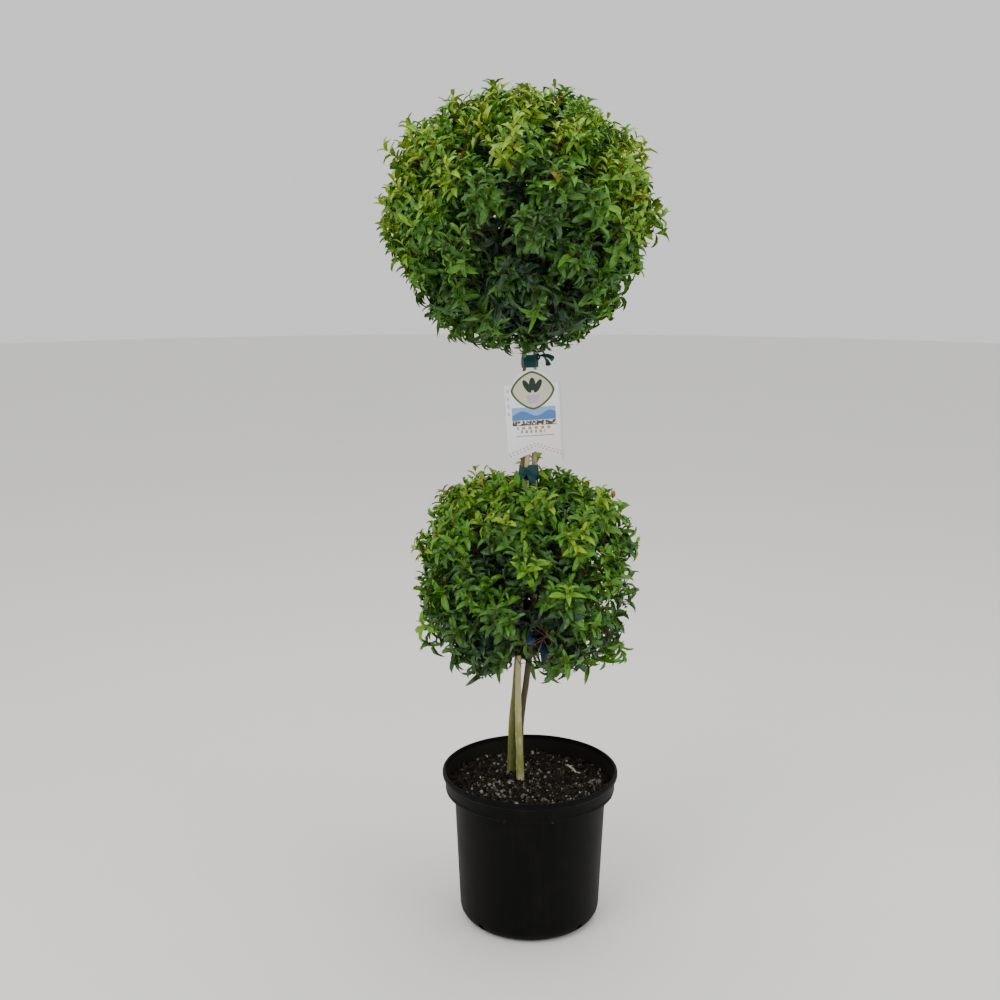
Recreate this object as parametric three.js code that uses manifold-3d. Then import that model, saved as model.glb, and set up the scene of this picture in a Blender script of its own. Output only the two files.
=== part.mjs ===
// A potted eugenia topiary: two clipped balls of foliage on crossing stems, in a black nursery pot.
// Millimetres, +Z up. The origin is the centre of the pot's flat underside, and the photographed
// side faces -Y.
import * as THREE from "three";
import { mergeVertices } from "three/addons/utils/BufferGeometryUtils.js";
import Module from "manifold-3d";

const wasm = await Module();
wasm.setup();

// Driving dimensions
const GAP = 0.3; // air left between two pieces that touch
const WELD = 1e-4; // points nearer than this are one point
const POT = {
  height: 315,
  rimRadius: 178,
  shoulderHeight: 273,
  shoulderRadius: 171,
  bodyTopRadius: 154,
  bodyFootRadius: 143,
  footHeight: 30,
  footRadius: 124,
  footRounding: [11, 8], // out and up, from the flat underside to the rounded corner's middle
  lipRoll: 4,
  wall: 3,
  segments: 28,
};
const DRAIN = { count: 4, radius: 9, depth: 40, height: 15, tilt: 58, sides: 8 };
const SOIL = {
  level: 280,
  mound: 5, // how much lower the surface lies at the pot's wall
  relief: 2.5,
  flatRadius: 62, // level ground round the stems
  rings: [1, 0.78, 0.55, 0.33, 0.1],
  segments: 16,
};
// Each ball has its own form above and below the level of its centre
const BALLS = {
  upper: {
    centre: [-21, 0, 1404],
    width: 264,
    above: { height: 244, squareness: 2.1 },
    below: { height: 241, squareness: 3, pinch: 0.3 },
    seed: 18,
  },
  lower: {
    centre: [-3, 0, 722],
    width: 219,
    above: { height: 207, squareness: 2.8 },
    below: { height: 174, squareness: 4.2, pinch: 0 },
    seed: 36,
  },
};
// Where the boughs of each ball point: how many in a ring, that ring's rise above the level, and
// the heights between which they leave the stems. The top mass sits on the back stem's own tip.
const RINGS = {
  upper: [
    { count: 1, rise: 90, turn: 0, springs: null },
    { count: 5, rise: 14, turn: 54, springs: [1280, 1328] },
    { count: 4, rise: -42, turn: 25, springs: [1216, 1262] },
  ],
  lower: [
    { count: 4, rise: 38, turn: 12, springs: [706, 754] },
    { count: 5, rise: -24, turn: 20, springs: [634, 684] },
  ],
};
const BOUGH = { baseRadius: 4, tipRadius: 2.8, reach: 0.42, lift: 0.5, handle: 12, sides: 5, rings: 2 };
const CORE = { centre: 0.66, depth: 0.12, breadth: 0.85, step: 0.03, slot: 4, detail: 1, lumps: 0.25 };
const TWIG = {
  baseRadius: 2.4,
  tipRadius: 1.3,
  sides: 3,
  perStem: 5,
  spread: 0.3,
  fork: 0.7,
  jitter: 0.1,
  reach: 0.85,
  uneven: 0.08,
};
const LEAF = {
  length: 86,
  width: 33,
  thickness: 2.4,
  widestAt: 0.46,
  droop: 0.12,
  fold: 0.05,
  pairs: [0.45, 0.15], // how steeply each pair at a twiglet's tip points outwards
  spacing: 7,
  turns: 6,
  nudge: 0.16,
  small: 0.78,
  clip: 1.02, // how far past the clipped surface a tip may stand
};
const SPRAYS = { upper: 74, lower: 56 };
const TIES = [
  { name: "lower_tie", z: 590, knotAngle: -20 },
  { name: "middle_tie", z: 928, knotAngle: -50 },
  { name: "upper_tie", z: 1145, knotAngle: 4 },
];
const TIE_ROOM = 36; // kept free of leaves round each tie
const TAG = {
  width: 107,
  shoulder: 150,
  arch: 28,
  archRadius: 39,
  notch: 20,
  height: 190,
  thickness: 0.8,
  tilt: 3.5,
  tieHeight: 1145,
};
const TAB = { width: 15, height: 33, right: 5 };
const TAPE = {
  width: 30,
  thickness: 2, // several turns, one over the other
  knot: 6,
  tail: 30,
  tailWidth: 13,
  tailThickness: 1.2,
  corners: 12,
  tails: [
    { swing: 0.35, drop: -0.35 },
    { swing: -0.25, drop: -1.3 },
  ],
};

const MATERIALS = {
  plastic: new THREE.MeshStandardMaterial({ color: "#17171a", roughness: 0.55, metalness: 0 }),
  soil: new THREE.MeshStandardMaterial({ color: "#2b231b", roughness: 0.95, metalness: 0 }),
  lightBark: new THREE.MeshStandardMaterial({ color: "#8f8a5f", roughness: 0.85, metalness: 0 }),
  darkBark: new THREE.MeshStandardMaterial({ color: "#5d4d33", roughness: 0.85, metalness: 0 }),
  leaf: new THREE.MeshStandardMaterial({ color: "#3f7a1c", roughness: 0.4, metalness: 0 }),
  tape: new THREE.MeshStandardMaterial({ color: "#0f5a54", roughness: 0.5, metalness: 0 }),
  card: new THREE.MeshStandardMaterial({ color: "#e4e3da", roughness: 0.5, metalness: 0 }),
};

const plant = new THREE.Group();

function addPart(name, geometry, material) {
  const mesh = new THREE.Mesh(geometry, material);
  mesh.name = name;
  plant.add(mesh);
  return mesh;
}

// Small helpers
const vec = (x, y, z) => new THREE.Vector3(x, y, z);
const UP = vec(0, 0, 1);
const mix = THREE.MathUtils.lerp;
const radians = THREE.MathUtils.degToRad;

function seededRandom(seed) {
  let state = seed >>> 0;
  return () => {
    state = (Math.imul(state, 1664525) + 1013904223) >>> 0;
    return state / 4294967296;
  };
}

function solidOf(geometry) {
  const bare = geometry.clone();
  bare.deleteAttribute("normal");
  bare.deleteAttribute("uv");
  const merged = mergeVertices(bare, WELD);
  const triVerts = new Uint32Array(merged.index.array);
  const vertProperties = new Float32Array(merged.attributes.position.array);
  return new wasm.Manifold(new wasm.Mesh({ numProp: 3, vertProperties, triVerts }));
}

function geometryOf(solid) {
  const mesh = solid.getMesh();
  const geometry = new THREE.BufferGeometry();
  geometry.setAttribute("position", new THREE.BufferAttribute(mesh.vertProperties, 3));
  geometry.setIndex(new THREE.BufferAttribute(mesh.triVerts, 1));
  geometry.computeVertexNormals();
  return geometry;
}

function indexed(points, faces) {
  const geometry = new THREE.BufferGeometry().setFromPoints(points);
  geometry.setIndex(faces);
  return geometry;
}

// A closed tube through rings of points, each ring given as a list of points
function loft(rings) {
  const sides = rings[0].length;
  const points = rings.flat();
  const faces = [];
  for (let r = 0; r + 1 < rings.length; r++) {
    for (let s = 0; s < sides; s++) {
      const a = r * sides + s;
      const b = r * sides + ((s + 1) % sides);
      faces.push(a, b, b + sides, a, b + sides, a + sides);
    }
  }
  const last = (rings.length - 1) * sides;
  for (let s = 1; s + 1 < sides; s++) {
    faces.push(0, s + 1, s);
    faces.push(last, last + s, last + s + 1);
  }
  return indexed(points, faces);
}

// A tapering limb along a curve; a level limb keeps its rings horizontal, so that its foot is cut flat
function limb(curve, radiusAt, { rings, sides, level = false }) {
  const ends = [curve.getPoint(0), curve.getPoint(1)];
  const reference = ends[1].clone().sub(ends[0]).cross(UP);
  if (reference.length() < 1e-3) reference.set(1, 0, 0);
  return loft(
    Array.from({ length: rings + 1 }, (_, r) => {
      const t = r / rings;
      const centre = curve.getPoint(t);
      const along = level ? UP : curve.getTangent(t);
      const across = reference.clone().addScaledVector(along, -reference.dot(along)).normalize();
      const other = along.clone().cross(across);
      return Array.from({ length: sides }, (_, s) => {
        const angle = (2 * Math.PI * s) / sides;
        return centre
          .clone()
          .addScaledVector(across, radiusAt(t) * Math.cos(angle))
          .addScaledVector(other, radiusAt(t) * Math.sin(angle));
      });
    }),
  );
}

// The pot: a thin moulded shell with a stepped lip, and drain holes in its rounded foot
function lathe(profile, segments) {
  const points = profile.map(([r, z]) => new THREE.Vector2(r, z));
  return new THREE.LatheGeometry(points, segments).rotateX(Math.PI / 2);
}

function potInside(z) {
  const { wall } = POT;
  if (z > POT.shoulderHeight + wall) {
    const share = (z - POT.shoulderHeight) / (POT.height - POT.shoulderHeight);
    return mix(POT.shoulderRadius, POT.rimRadius - wall, share) - wall;
  }
  if (z < POT.footHeight) return mix(POT.footRadius, POT.bodyFootRadius, z / POT.footHeight) - wall;
  const share = (z - POT.footHeight) / (POT.shoulderHeight - POT.footHeight);
  return mix(POT.bodyFootRadius, POT.bodyTopRadius, share) - wall;
}

function makePot() {
  const { height, rimRadius, shoulderHeight, shoulderRadius, wall, footHeight, lipRoll } = POT;
  const [out, up] = POT.footRounding;
  const lipFoot = height - 2 * lipRoll;
  const profile = [
    [0, 0],
    [POT.footRadius, 0],
    [POT.footRadius + out, up],
    [POT.bodyFootRadius, footHeight],
    [POT.bodyTopRadius, shoulderHeight],
    [shoulderRadius, shoulderHeight],
    [rimRadius - lipRoll, lipFoot],
    [rimRadius, height - lipRoll],
    [rimRadius - 1, height],
    [rimRadius - lipRoll, height],
    [potInside(lipFoot), lipFoot],
    [shoulderRadius - wall, shoulderHeight + wall],
    [POT.bodyTopRadius - wall, shoulderHeight + wall],
    [POT.bodyFootRadius - wall, footHeight],
    [POT.footRadius + out - wall, up + wall],
    [POT.footRadius - wall, wall],
    [0, wall],
  ];
  let shell = solidOf(lathe(profile, POT.segments));
  for (let i = 0; i < DRAIN.count; i++) {
    const drill = new THREE.CylinderGeometry(DRAIN.radius, DRAIN.radius, DRAIN.depth, DRAIN.sides);
    drill.rotateZ(radians(DRAIN.tilt));
    drill.translate(POT.footRadius + POT.footRounding[0], 0, DRAIN.height);
    drill.rotateZ(radians((360 * (i + 0.5)) / DRAIN.count));
    shell = shell.subtract(solidOf(drill));
  }
  addPart("pot", geometryOf(shell), MATERIALS.plastic);
}

// The potting mix fills the pot up to just below its lip, with a low mound round the stems
function soilHeight(x, y) {
  const r = Math.hypot(x, y);
  const fromStems = Math.hypot(x - FOOT.x, y - FOOT.y);
  const share = THREE.MathUtils.smoothstep(fromStems, SOIL.flatRadius, 2 * SOIL.flatRadius);
  const bumps = Math.sin(x / 19 + 1) * Math.cos(y / 23) + 0.6 * Math.sin(x / 9 - y / 11);
  return SOIL.level - share * SOIL.mound * (r / POT.bodyTopRadius) + share * SOIL.relief * bumps;
}

function makeSoil() {
  const shrink = GAP / Math.cos(Math.PI / SOIL.segments) + 0.1;
  const ring = (radius, heightAt) =>
    Array.from({ length: SOIL.segments }, (_, s) => {
      const angle = (2 * Math.PI * s) / SOIL.segments;
      const x = radius * Math.sin(angle);
      const y = -radius * Math.cos(angle);
      return vec(x, y, heightAt(x, y));
    });
  const cornerTop = POT.footRounding[1] + POT.wall;
  const wallLevels = [POT.wall + GAP, cornerTop, POT.footHeight, POT.shoulderHeight - GAP];
  const rings = wallLevels.map((z) => ring(potInside(z) - shrink, () => z));
  const ledge = POT.shoulderHeight + POT.wall + GAP;
  rings.push(ring(POT.bodyTopRadius - POT.wall - shrink, () => ledge));
  const brim = potInside(ledge) - shrink;
  rings.push(ring(brim, () => ledge));
  for (const share of SOIL.rings) rings.push(ring(brim * share, soilHeight));
  addPart("potting_mix", loft(rings), MATERIALS.soil);
}

// The stems, from their flat cut on the soil. They cross below the lower ball, run side by side
// above it, and all three reach into the upper ball.
const FOOT = vec(-27, 39, SOIL.level);
const STEMS = {
  front_stem: {
    foot: 7.6,
    waist: 5.8,
    tip: 3.6,
    material: MATERIALS.lightBark,
    line: [
      [-19, 26, SOIL.level + GAP],
      [-24, 9, 450],
      [-22, -1, 620],
      [-9, -5, 930],
      [-5, -4, 1165],
      [-13, -13, 1346],
    ],
  },
  back_stem: {
    foot: 8.4,
    waist: 6,
    tip: 3,
    material: MATERIALS.darkBark,
    line: [
      [-37, 66, SOIL.level + GAP],
      [-36, 43, 400],
      [-30, 30, 480],
      [-22, 21, 640],
      [-17, 8, 930],
      [-14, 5, 1165],
      [-21, 0, 1484],
    ],
  },
  side_stem: {
    foot: 6.4,
    waist: 6.6,
    tip: 4,
    material: MATERIALS.darkBark,
    line: [
      [-19, 50, SOIL.level + GAP],
      [-18, 33, 400],
      [-7, 21, 500],
      [2, 17, 590],
      [10, 11, 780],
      [6, 3, 930],
      [5, 2, 1165],
      [13, 8, 1350],
    ],
  },
};
const WAIST_AT = 0.3; // how far up a stem its quicker taper ends
const FLARE = { extra: 0.08, height: 0.03 };
const STEM_SIDES = 8;
const STEM_RINGS = 20;

for (const stem of Object.values(STEMS)) {
  stem.curve = new THREE.CatmullRomCurve3(stem.line.map((p) => vec(...p)));
  stem.radiusAt = (t) => {
    const low = mix(stem.foot, stem.waist, t / WAIST_AT);
    const high = mix(stem.waist, stem.tip, (t - WAIST_AT) / (1 - WAIST_AT));
    return (t < WAIST_AT ? low : high) * (1 + FLARE.extra * Math.exp(-t / FLARE.height));
  };
  stem.at = (z) => {
    let [low, high] = [0, 1];
    for (let i = 0; i < 24; i++) {
      const middle = (low + high) / 2;
      if (stem.curve.getPoint(middle).z < z) low = middle;
      else high = middle;
    }
    return { point: stem.curve.getPoint(low), radius: stem.radiusAt(low) };
  };
}

function stemSolid(stem, clearance) {
  const size = { rings: STEM_RINGS, sides: STEM_SIDES, level: true };
  return limb(stem.curve, (t) => stem.radiusAt(t) + clearance, size);
}

function makeStems() {
  for (const [name, stem] of Object.entries(STEMS)) addPart(name, stemSolid(stem, 0), stem.material);
}

// The stems that are still there at a height
function stemsAt(z) {
  return Object.values(STEMS).filter((stem) => stem.curve.getPoint(1).z > z);
}

// The stem that stands farthest out in a direction at a height, so a bough crosses no other
function outermostStem(z, direction) {
  const outward = (stem) => stem.at(z).point.setZ(0).dot(direction);
  return stemsAt(z).reduce((a, b) => (outward(a) > outward(b) ? a : b));
}

// The middle of the room that the stems take up at a height
function stemMiddle(z) {
  const places = stemsAt(z).map((stem) => stem.at(z).point);
  const halfway = (values) => (Math.min(...values) + Math.max(...values)) / 2;
  return [halfway(places.map((p) => p.x)), halfway(places.map((p) => p.y))];
}

// Distance from a point to the nearest stem's surface
function clearOfStems(point) {
  const gaps = Object.values(STEMS).map((stem) => {
    const top = stem.curve.getPoint(1);
    if (point.z > top.z) return point.distanceTo(top) - stem.tip;
    const { point: centre, radius } = stem.at(point.z);
    return Math.hypot(point.x - centre.x, point.y - centre.y) - radius;
  });
  return Math.min(...gaps);
}

// The clipped surface of a ball, as its radius in a direction: a slightly square round form
function ballRadius(ball, direction) {
  const { height, squareness, pinch = 0 } = direction.z > 0 ? ball.above : ball.below;
  const across = Math.hypot(direction.x, direction.y) / (ball.width * (1 - pinch * Math.abs(direction.z)));
  const along = Math.abs(direction.z) / height;
  return (across ** squareness + along ** squareness) ** (-1 / squareness);
}

function onBall(ball, direction, share) {
  const centre = vec(...ball.centre);
  return centre.addScaledVector(direction, share * ballRadius(ball, direction));
}

// The one of a list whose direction lies nearest to the given one
function nearestOf(list, direction) {
  return list.reduce((a, b) => (a.direction.dot(direction) > b.direction.dot(direction) ? a : b));
}

// The directions of a ball's boughs, each with the height at which it leaves its stem
function boughDirections(rings) {
  return rings.flatMap(({ count, rise, turn, springs }) =>
    Array.from({ length: count }, (_, i) => {
      const angle = radians(turn + (360 * i) / count);
      const level = Math.cos(radians(rise));
      const direction = vec(level * Math.cos(angle), level * Math.sin(angle), Math.sin(radians(rise)));
      return { direction, springsAt: springs && mix(...springs, i / (count - 1)), sprays: [] };
    }),
  );
}

// How far inside its own space a point is: the space of a mass is all that lies nearer to its
// bough's direction than to any other, so neighbours meet on flat planes through the ball's centre
function insideCell(ball, cells, own, point) {
  const offset = point.clone().sub(vec(...ball.centre));
  const gaps = cells
    .filter((cell) => cell !== own)
    .map((cell) => {
      const normal = own.direction.clone().sub(cell.direction).normalize();
      return offset.dot(normal);
    });
  return Math.min(...gaps);
}

function makeBough(name, ball, cell, limbs) {
  const tip = onBall(ball, cell.direction, BOUGH.reach);
  const start = outermostStem(cell.springsAt, cell.direction).at(cell.springsAt).point;
  const bend = start.clone().lerp(tip, 0.5);
  bend.z = mix(bend.z, start.z, BOUGH.lift);
  const curve = new THREE.QuadraticBezierCurve3(start, bend, tip);
  const radiusAt = (t) => mix(BOUGH.baseRadius, BOUGH.tipRadius, t);
  const grown = (extra) => solidOf(limb(curve, (t) => radiusAt(t) + extra, BOUGH));
  let solid = grown(0);
  for (const each of Object.values(STEMS)) solid = solid.subtract(solidOf(stemSolid(each, GAP)));
  addPart(name, geometryOf(largestPiece(solid)), MATERIALS.darkBark);
  limbs.push(grown(GAP));
  return { tip, along: curve.getTangent(1) };
}

function stemTip() {
  return { tip: STEMS.back_stem.curve.getPoint(1), along: UP.clone() };
}

// The outer skin of a solid's largest piece, so that no scrap is left loose and no hollow sealed
function largestPiece(solid) {
  return solid.decompose().reduce((a, b) => (a.volume() > b.volume() ? a : b));
}

// How far a point of a mass stands inside the room it may grow in
function roomAt(ball, cells, cell, point) {
  const ties = TIES.map(({ z }) => point.distanceTo(vec(...stemMiddle(z), z)) - TIE_ROOM);
  return Math.min(insideCell(ball, cells, cell, point), clearOfStems(point), ...ties);
}

// The dense heart of a mass: a thick pad that follows the ball's own curve, drawn in from the
// planes midway to its neighbours
function coreSolid(ball, cells, cell, random) {
  const shape = new THREE.IcosahedronGeometry(1, CORE.detail);
  shape.deleteAttribute("normal");
  shape.deleteAttribute("uv");
  const pad = mergeVertices(shape, WELD);
  const position = pad.attributes.position;
  for (let i = 0; i < position.count; i++) {
    const ray = vec(0, 0, 0).fromBufferAttribute(position, i).normalize();
    const depth = ray.dot(cell.direction);
    const sideways = ray.addScaledVector(cell.direction, -depth);
    const share = CORE.centre + CORE.depth * depth * (1 - CORE.lumps * random());
    const at = (spread) => {
      const direction = cell.direction.clone().addScaledVector(sideways, spread).normalize();
      return onBall(ball, direction, share);
    };
    let breadth = CORE.breadth;
    while (roomAt(ball, cells, cell, at(breadth)) < CORE.slot) breadth -= CORE.step;
    position.setXYZ(i, ...at(breadth).toArray());
  }
  return solidOf(pad);
}

// A leaf: a folded, drooping blade of eight faces, with its root at the given point
function leafPoints(root, along, normal, length, width) {
  const side = normal.clone().cross(along).normalize();
  const face = along.clone().cross(side).normalize();
  const at = (forward, sideways, up) =>
    root.clone().addScaledVector(along, forward).addScaledVector(side, sideways).addScaledVector(face, up);
  const middle = LEAF.widestAt * length;
  const half = LEAF.thickness / 2;
  return [
    at(0, 0, 0),
    at(middle, width / 2, LEAF.fold * length),
    at(length, 0, -LEAF.droop * length),
    at(middle, -width / 2, LEAF.fold * length),
    at(middle, 0, half),
    at(middle, 0, -half),
  ];
}
const LEAF_FACES = [0, 4, 1, 1, 4, 2, 2, 4, 3, 3, 4, 0, 0, 1, 5, 1, 2, 5, 2, 3, 5, 3, 0, 5];

function twigSolid(from, to, startRadius, endRadius) {
  const curve = new THREE.LineCurve3(from, to);
  return solidOf(limb(curve, (t) => mix(startRadius, endRadius, t), { rings: 1, sides: TWIG.sides }));
}

// Two directions square to a given one
function squareTo(direction) {
  const across = direction.clone().cross(Math.abs(direction.z) > 0.9 ? vec(1, 0, 0) : UP).normalize();
  return [across, direction.clone().cross(across)];
}

// Evenly spread directions over a ball, turned and jittered by the seed
function sprayDirections(count, random) {
  const golden = Math.PI * (3 - Math.sqrt(5));
  const turn = 2 * Math.PI * random();
  return Array.from({ length: count }, (_, i) => {
    const z = 1 - (2 * (i + 0.5)) / count;
    const level = Math.sqrt(1 - z * z);
    const angle = turn + golden * i;
    const jitter = vec(random() - 0.5, random() - 0.5, random() - 0.5).multiplyScalar(TWIG.jitter);
    return vec(level * Math.cos(angle), level * Math.sin(angle), z).add(jitter).normalize();
  });
}

// The main twigs of a mass: one straight on and the rest in a ring about its bough's direction
function mainTwigs(ball, cell, random) {
  const [across, other] = squareTo(cell.direction);
  return Array.from({ length: TWIG.perStem }, (_, i) => {
    const angle = (2 * Math.PI * (i + 0.4 * random())) / (TWIG.perStem - 1);
    const spread = i === 0 ? 0 : TWIG.spread + 0.08 * random();
    const direction = cell.direction
      .clone()
      .addScaledVector(across, spread * Math.cos(angle))
      .addScaledVector(other, spread * Math.sin(angle))
      .normalize();
    return { direction, fork: onBall(ball, direction, TWIG.fork) };
  });
}

// The leaves at a twiglet's tip: opposite pairs, each square to the last. A leaf tries a few turns,
// then a smaller size, and is left out where none keeps inside the ball and the mass's own room
function leavesOn(ball, cells, cell, tip, direction, random) {
  const fits = (point) => {
    const offset = point.clone().sub(vec(...ball.centre));
    const limit = ballRadius(ball, offset.clone().normalize());
    return offset.length() < limit * LEAF.clip && roomAt(ball, cells, cell, point) > 2 * GAP;
  };
  const [across, other] = squareTo(direction);
  const leaves = [];
  const firstTurn = 2 * Math.PI * random();
  for (let i = 0; i < 2 * LEAF.pairs.length; i++) {
    const pair = Math.floor(i / 2);
    const root = tip.clone().addScaledVector(direction, -2 - LEAF.spacing * pair);
    for (let attempt = 0; attempt < 2 * LEAF.turns; attempt++) {
      const nudge = (attempt % LEAF.turns) * (attempt % 2 ? LEAF.nudge : -LEAF.nudge);
      const turn = firstTurn + Math.PI * (i % 2) + (Math.PI / 2) * pair + nudge;
      const scale = (attempt < LEAF.turns ? 1 : LEAF.small) * (0.9 + 0.2 * random());
      const along = across
        .clone()
        .multiplyScalar(Math.cos(turn))
        .addScaledVector(other, Math.sin(turn))
        .addScaledVector(direction, LEAF.pairs[pair])
        .normalize();
      const points = leafPoints(root, along, direction, LEAF.length * scale, LEAF.width * scale);
      if (!points.slice(1).every(fits)) continue;
      leaves.push(solidOf(indexed(points, LEAF_FACES)));
      break;
    }
  }
  return leaves;
}

// One mass: a stem, a core, a few main twigs, a twiglet to each spray, and its pairs of leaves
function makeMass(name, ball, cells, cell, limbs, random) {
  const { tip: carrier, along } = cell.bough;
  const root = carrier.clone().addScaledVector(along, GAP);
  const head = onBall(ball, cell.direction, CORE.centre);
  const throat = new THREE.CubicBezierCurve3(
    root,
    root.clone().addScaledVector(along, BOUGH.handle),
    head.clone().addScaledVector(cell.direction, -BOUGH.handle),
    head,
  );
  const solids = [
    coreSolid(ball, cells, cell, random),
    solidOf(limb(throat, () => BOUGH.tipRadius, { rings: 3, sides: BOUGH.sides })),
  ];
  const mains = mainTwigs(ball, cell, random);
  for (const main of mains) solids.push(twigSolid(head, main.fork, TWIG.baseRadius, TWIG.baseRadius));
  for (const direction of cell.sprays) {
    const tip = onBall(ball, direction, TWIG.reach + TWIG.uneven * random());
    if (roomAt(ball, cells, cell, tip) < 2 * TWIG.baseRadius) continue;
    const leaves = leavesOn(ball, cells, cell, tip, direction, random);
    if (leaves.length === 0) continue;
    const { fork } = nearestOf(mains, direction);
    solids.push(twigSolid(fork, tip, TWIG.baseRadius, TWIG.tipRadius), ...leaves);
  }
  let joined = wasm.Manifold.union(solids);
  for (const each of limbs) joined = joined.subtract(each);
  addPart(name, geometryOf(largestPiece(joined)), MATERIALS.leaf);
}

function makeBall(which) {
  const ball = BALLS[which];
  const random = seededRandom(ball.seed);
  const cells = boughDirections(RINGS[which]);
  for (const direction of sprayDirections(SPRAYS[which], random)) {
    nearestOf(cells, direction).sprays.push(direction);
  }
  const limbs = Object.values(STEMS).map((stem) => solidOf(stemSolid(stem, GAP)));
  cells.forEach((cell, i) => {
    const name = `${which}_bough_${i + 1}`;
    cell.bough = cell.springsAt ? makeBough(name, ball, cell, limbs) : stemTip();
  });
  cells.forEach((cell, i) => {
    makeMass(`${which}_foliage_${i + 1}`, ball, cells, cell, limbs, random);
  });
}

// Tie tape: a band drawn tight round the stems, with a knot and two tails. Its outline is where
// the straight edges that touch the stems from all sides meet
function wrapOutline(circles, offset) {
  const step = (2 * Math.PI) / TAPE.corners;
  const lines = Array.from({ length: TAPE.corners }, (_, i) => {
    const [x, y] = [Math.cos(step * i), Math.sin(step * i)];
    return { x, y, reach: offset + Math.max(...circles.map((c) => c.x * x + c.y * y + c.r)) };
  });
  return lines.map((a, i) => {
    const b = lines[(i + 1) % lines.length];
    const x = (a.reach * b.y - b.reach * a.y) / Math.sin(step);
    const y = (b.reach * a.x - a.reach * b.x) / Math.sin(step);
    return new THREE.Vector2(x, y);
  });
}

function prism(outline, bottom, height) {
  const shape = new THREE.Shape(outline);
  return new THREE.ExtrudeGeometry(shape, { depth: height, bevelEnabled: false }).translate(0, 0, bottom);
}

function stemCircles(z) {
  return stemsAt(z + TAPE.width / 2).flatMap((stem) =>
    [z - TAPE.width / 2, z, z + TAPE.width / 2].map((level) => {
      const { point, radius } = stem.at(level);
      return { x: point.x, y: point.y, r: radius + GAP };
    }),
  );
}

function makeTie({ name, z, knotAngle }, held) {
  const circles = [...stemCircles(z), ...held];
  const inner = wrapOutline(circles, 0);
  const middle = vec(...stemMiddle(z), z);
  const angle = radians(knotAngle);
  const outward = vec(Math.cos(angle), Math.sin(angle), 0);
  const reach = Math.max(...inner.map((p) => (p.x - middle.x) * outward.x + (p.y - middle.y) * outward.y));
  const seat = middle.addScaledVector(outward, reach + TAPE.knot * 0.4);
  const knot = new THREE.IcosahedronGeometry(TAPE.knot);
  knot.scale(1, 1, 1.3).translate(...seat.toArray());
  const band = prism(wrapOutline(circles, TAPE.thickness), z - TAPE.width / 2, TAPE.width);
  const solids = [solidOf(band), solidOf(knot)];
  for (const { swing, drop } of TAPE.tails) {
    const along = outward.clone().applyAxisAngle(UP, swing).setZ(drop).normalize();
    const tail = new THREE.BoxGeometry(TAPE.tail, TAPE.tailWidth, TAPE.tailThickness);
    tail.translate(TAPE.tail / 2, 0, 0);
    tail.applyQuaternion(new THREE.Quaternion().setFromUnitVectors(vec(1, 0, 0), along));
    tail.translate(...seat.toArray());
    solids.push(solidOf(tail));
  }
  const inside = solidOf(prism(inner, z - 2 * TAPE.width, 4 * TAPE.width));
  const joined = wasm.Manifold.union(solids).subtract(inside);
  addPart(name, geometryOf(largestPiece(joined)), MATERIALS.tape);
}

// The card tag hangs by a narrow tab tucked under the upper tie, flat in front of the stems
function tagFront() {
  const levels = [0, 0.25, 0.5, 0.75, 1].map((share) => TAG.tieHeight - share * TAG.height);
  const fronts = levels.map((z) => {
    const { point, radius } = STEMS.front_stem.at(z);
    return point.y - radius;
  });
  return Math.min(...fronts) - GAP;
}

function makeTag() {
  const half = TAG.width / 2;
  const outline = new THREE.Shape();
  outline.moveTo(-half, -TAG.shoulder);
  outline.lineTo(0, TAG.notch - TAG.shoulder);
  outline.lineTo(half, -TAG.shoulder);
  outline.lineTo(half, 0);
  // The top is a low arch on square shoulders, broken by the tab
  const centre = TAG.arch - TAG.archRadius;
  const spring = Math.asin(-centre / TAG.archRadius);
  const tabEdge = (x) => Math.acos(x / TAG.archRadius);
  outline.absarc(0, centre, TAG.archRadius, spring, tabEdge(TAB.right), false);
  outline.lineTo(TAB.right, TAG.arch + TAB.height);
  outline.lineTo(TAB.right - TAB.width, TAG.arch + TAB.height);
  outline.absarc(0, centre, TAG.archRadius, tabEdge(TAB.right - TAB.width), Math.PI - spring, false);
  outline.lineTo(-half, 0);
  const card = new THREE.ExtrudeGeometry(outline, {
    depth: TAG.thickness,
    bevelEnabled: false,
    curveSegments: 6,
  });
  card.translate(TAB.width / 2 - TAB.right, -TAG.arch - TAB.height / 2, 0);
  card.rotateZ(radians(TAG.tilt)).rotateX(Math.PI / 2);
  const mesh = addPart("plant_tag", card, MATERIALS.card);
  mesh.position.set(STEMS.front_stem.at(TAG.tieHeight).point.x, tagFront(), TAG.tieHeight);
}

// The room that the tag's tab takes up inside the upper tie
function tabRoom() {
  const { x } = STEMS.front_stem.at(TAG.tieHeight).point;
  const y = tagFront() - TAG.thickness - GAP;
  const reach = TAB.width / 2 + 2;
  const r = TAG.thickness / 2 + GAP;
  return [-reach, reach].map((side) => ({ x: x + side, y: y + r, r }));
}

makePot();
makeSoil();
makeStems();
makeBall("upper");
makeBall("lower");
makeTag();
for (const tie of TIES) makeTie(tie, tie.name === "upper_tie" ? tabRoom() : []);

export default plant;
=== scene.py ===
"""The looks of a potted eugenia topiary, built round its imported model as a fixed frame.

Metres, +Z up, in the same frame as the solids. Two clipped balls of foliage stand on
crossing stems in a black nursery pot. The stems are held by three ties of tape, and a card tag
hangs from the upper one. Limbs and foliage grow by the rule of the part's source, which is
written again here and carried on to finer twigs and leaves of life size.
"""

import sys

import logging
from collections.abc import Callable, Iterable, Sequence
from dataclasses import dataclass, field
from enum import Enum
from math import acos, copysign, cos, exp, hypot, pi, radians, sin, sqrt, tan, tau
from typing import Any

import bmesh
import bpy
from mathutils import Matrix, Vector, noise

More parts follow.
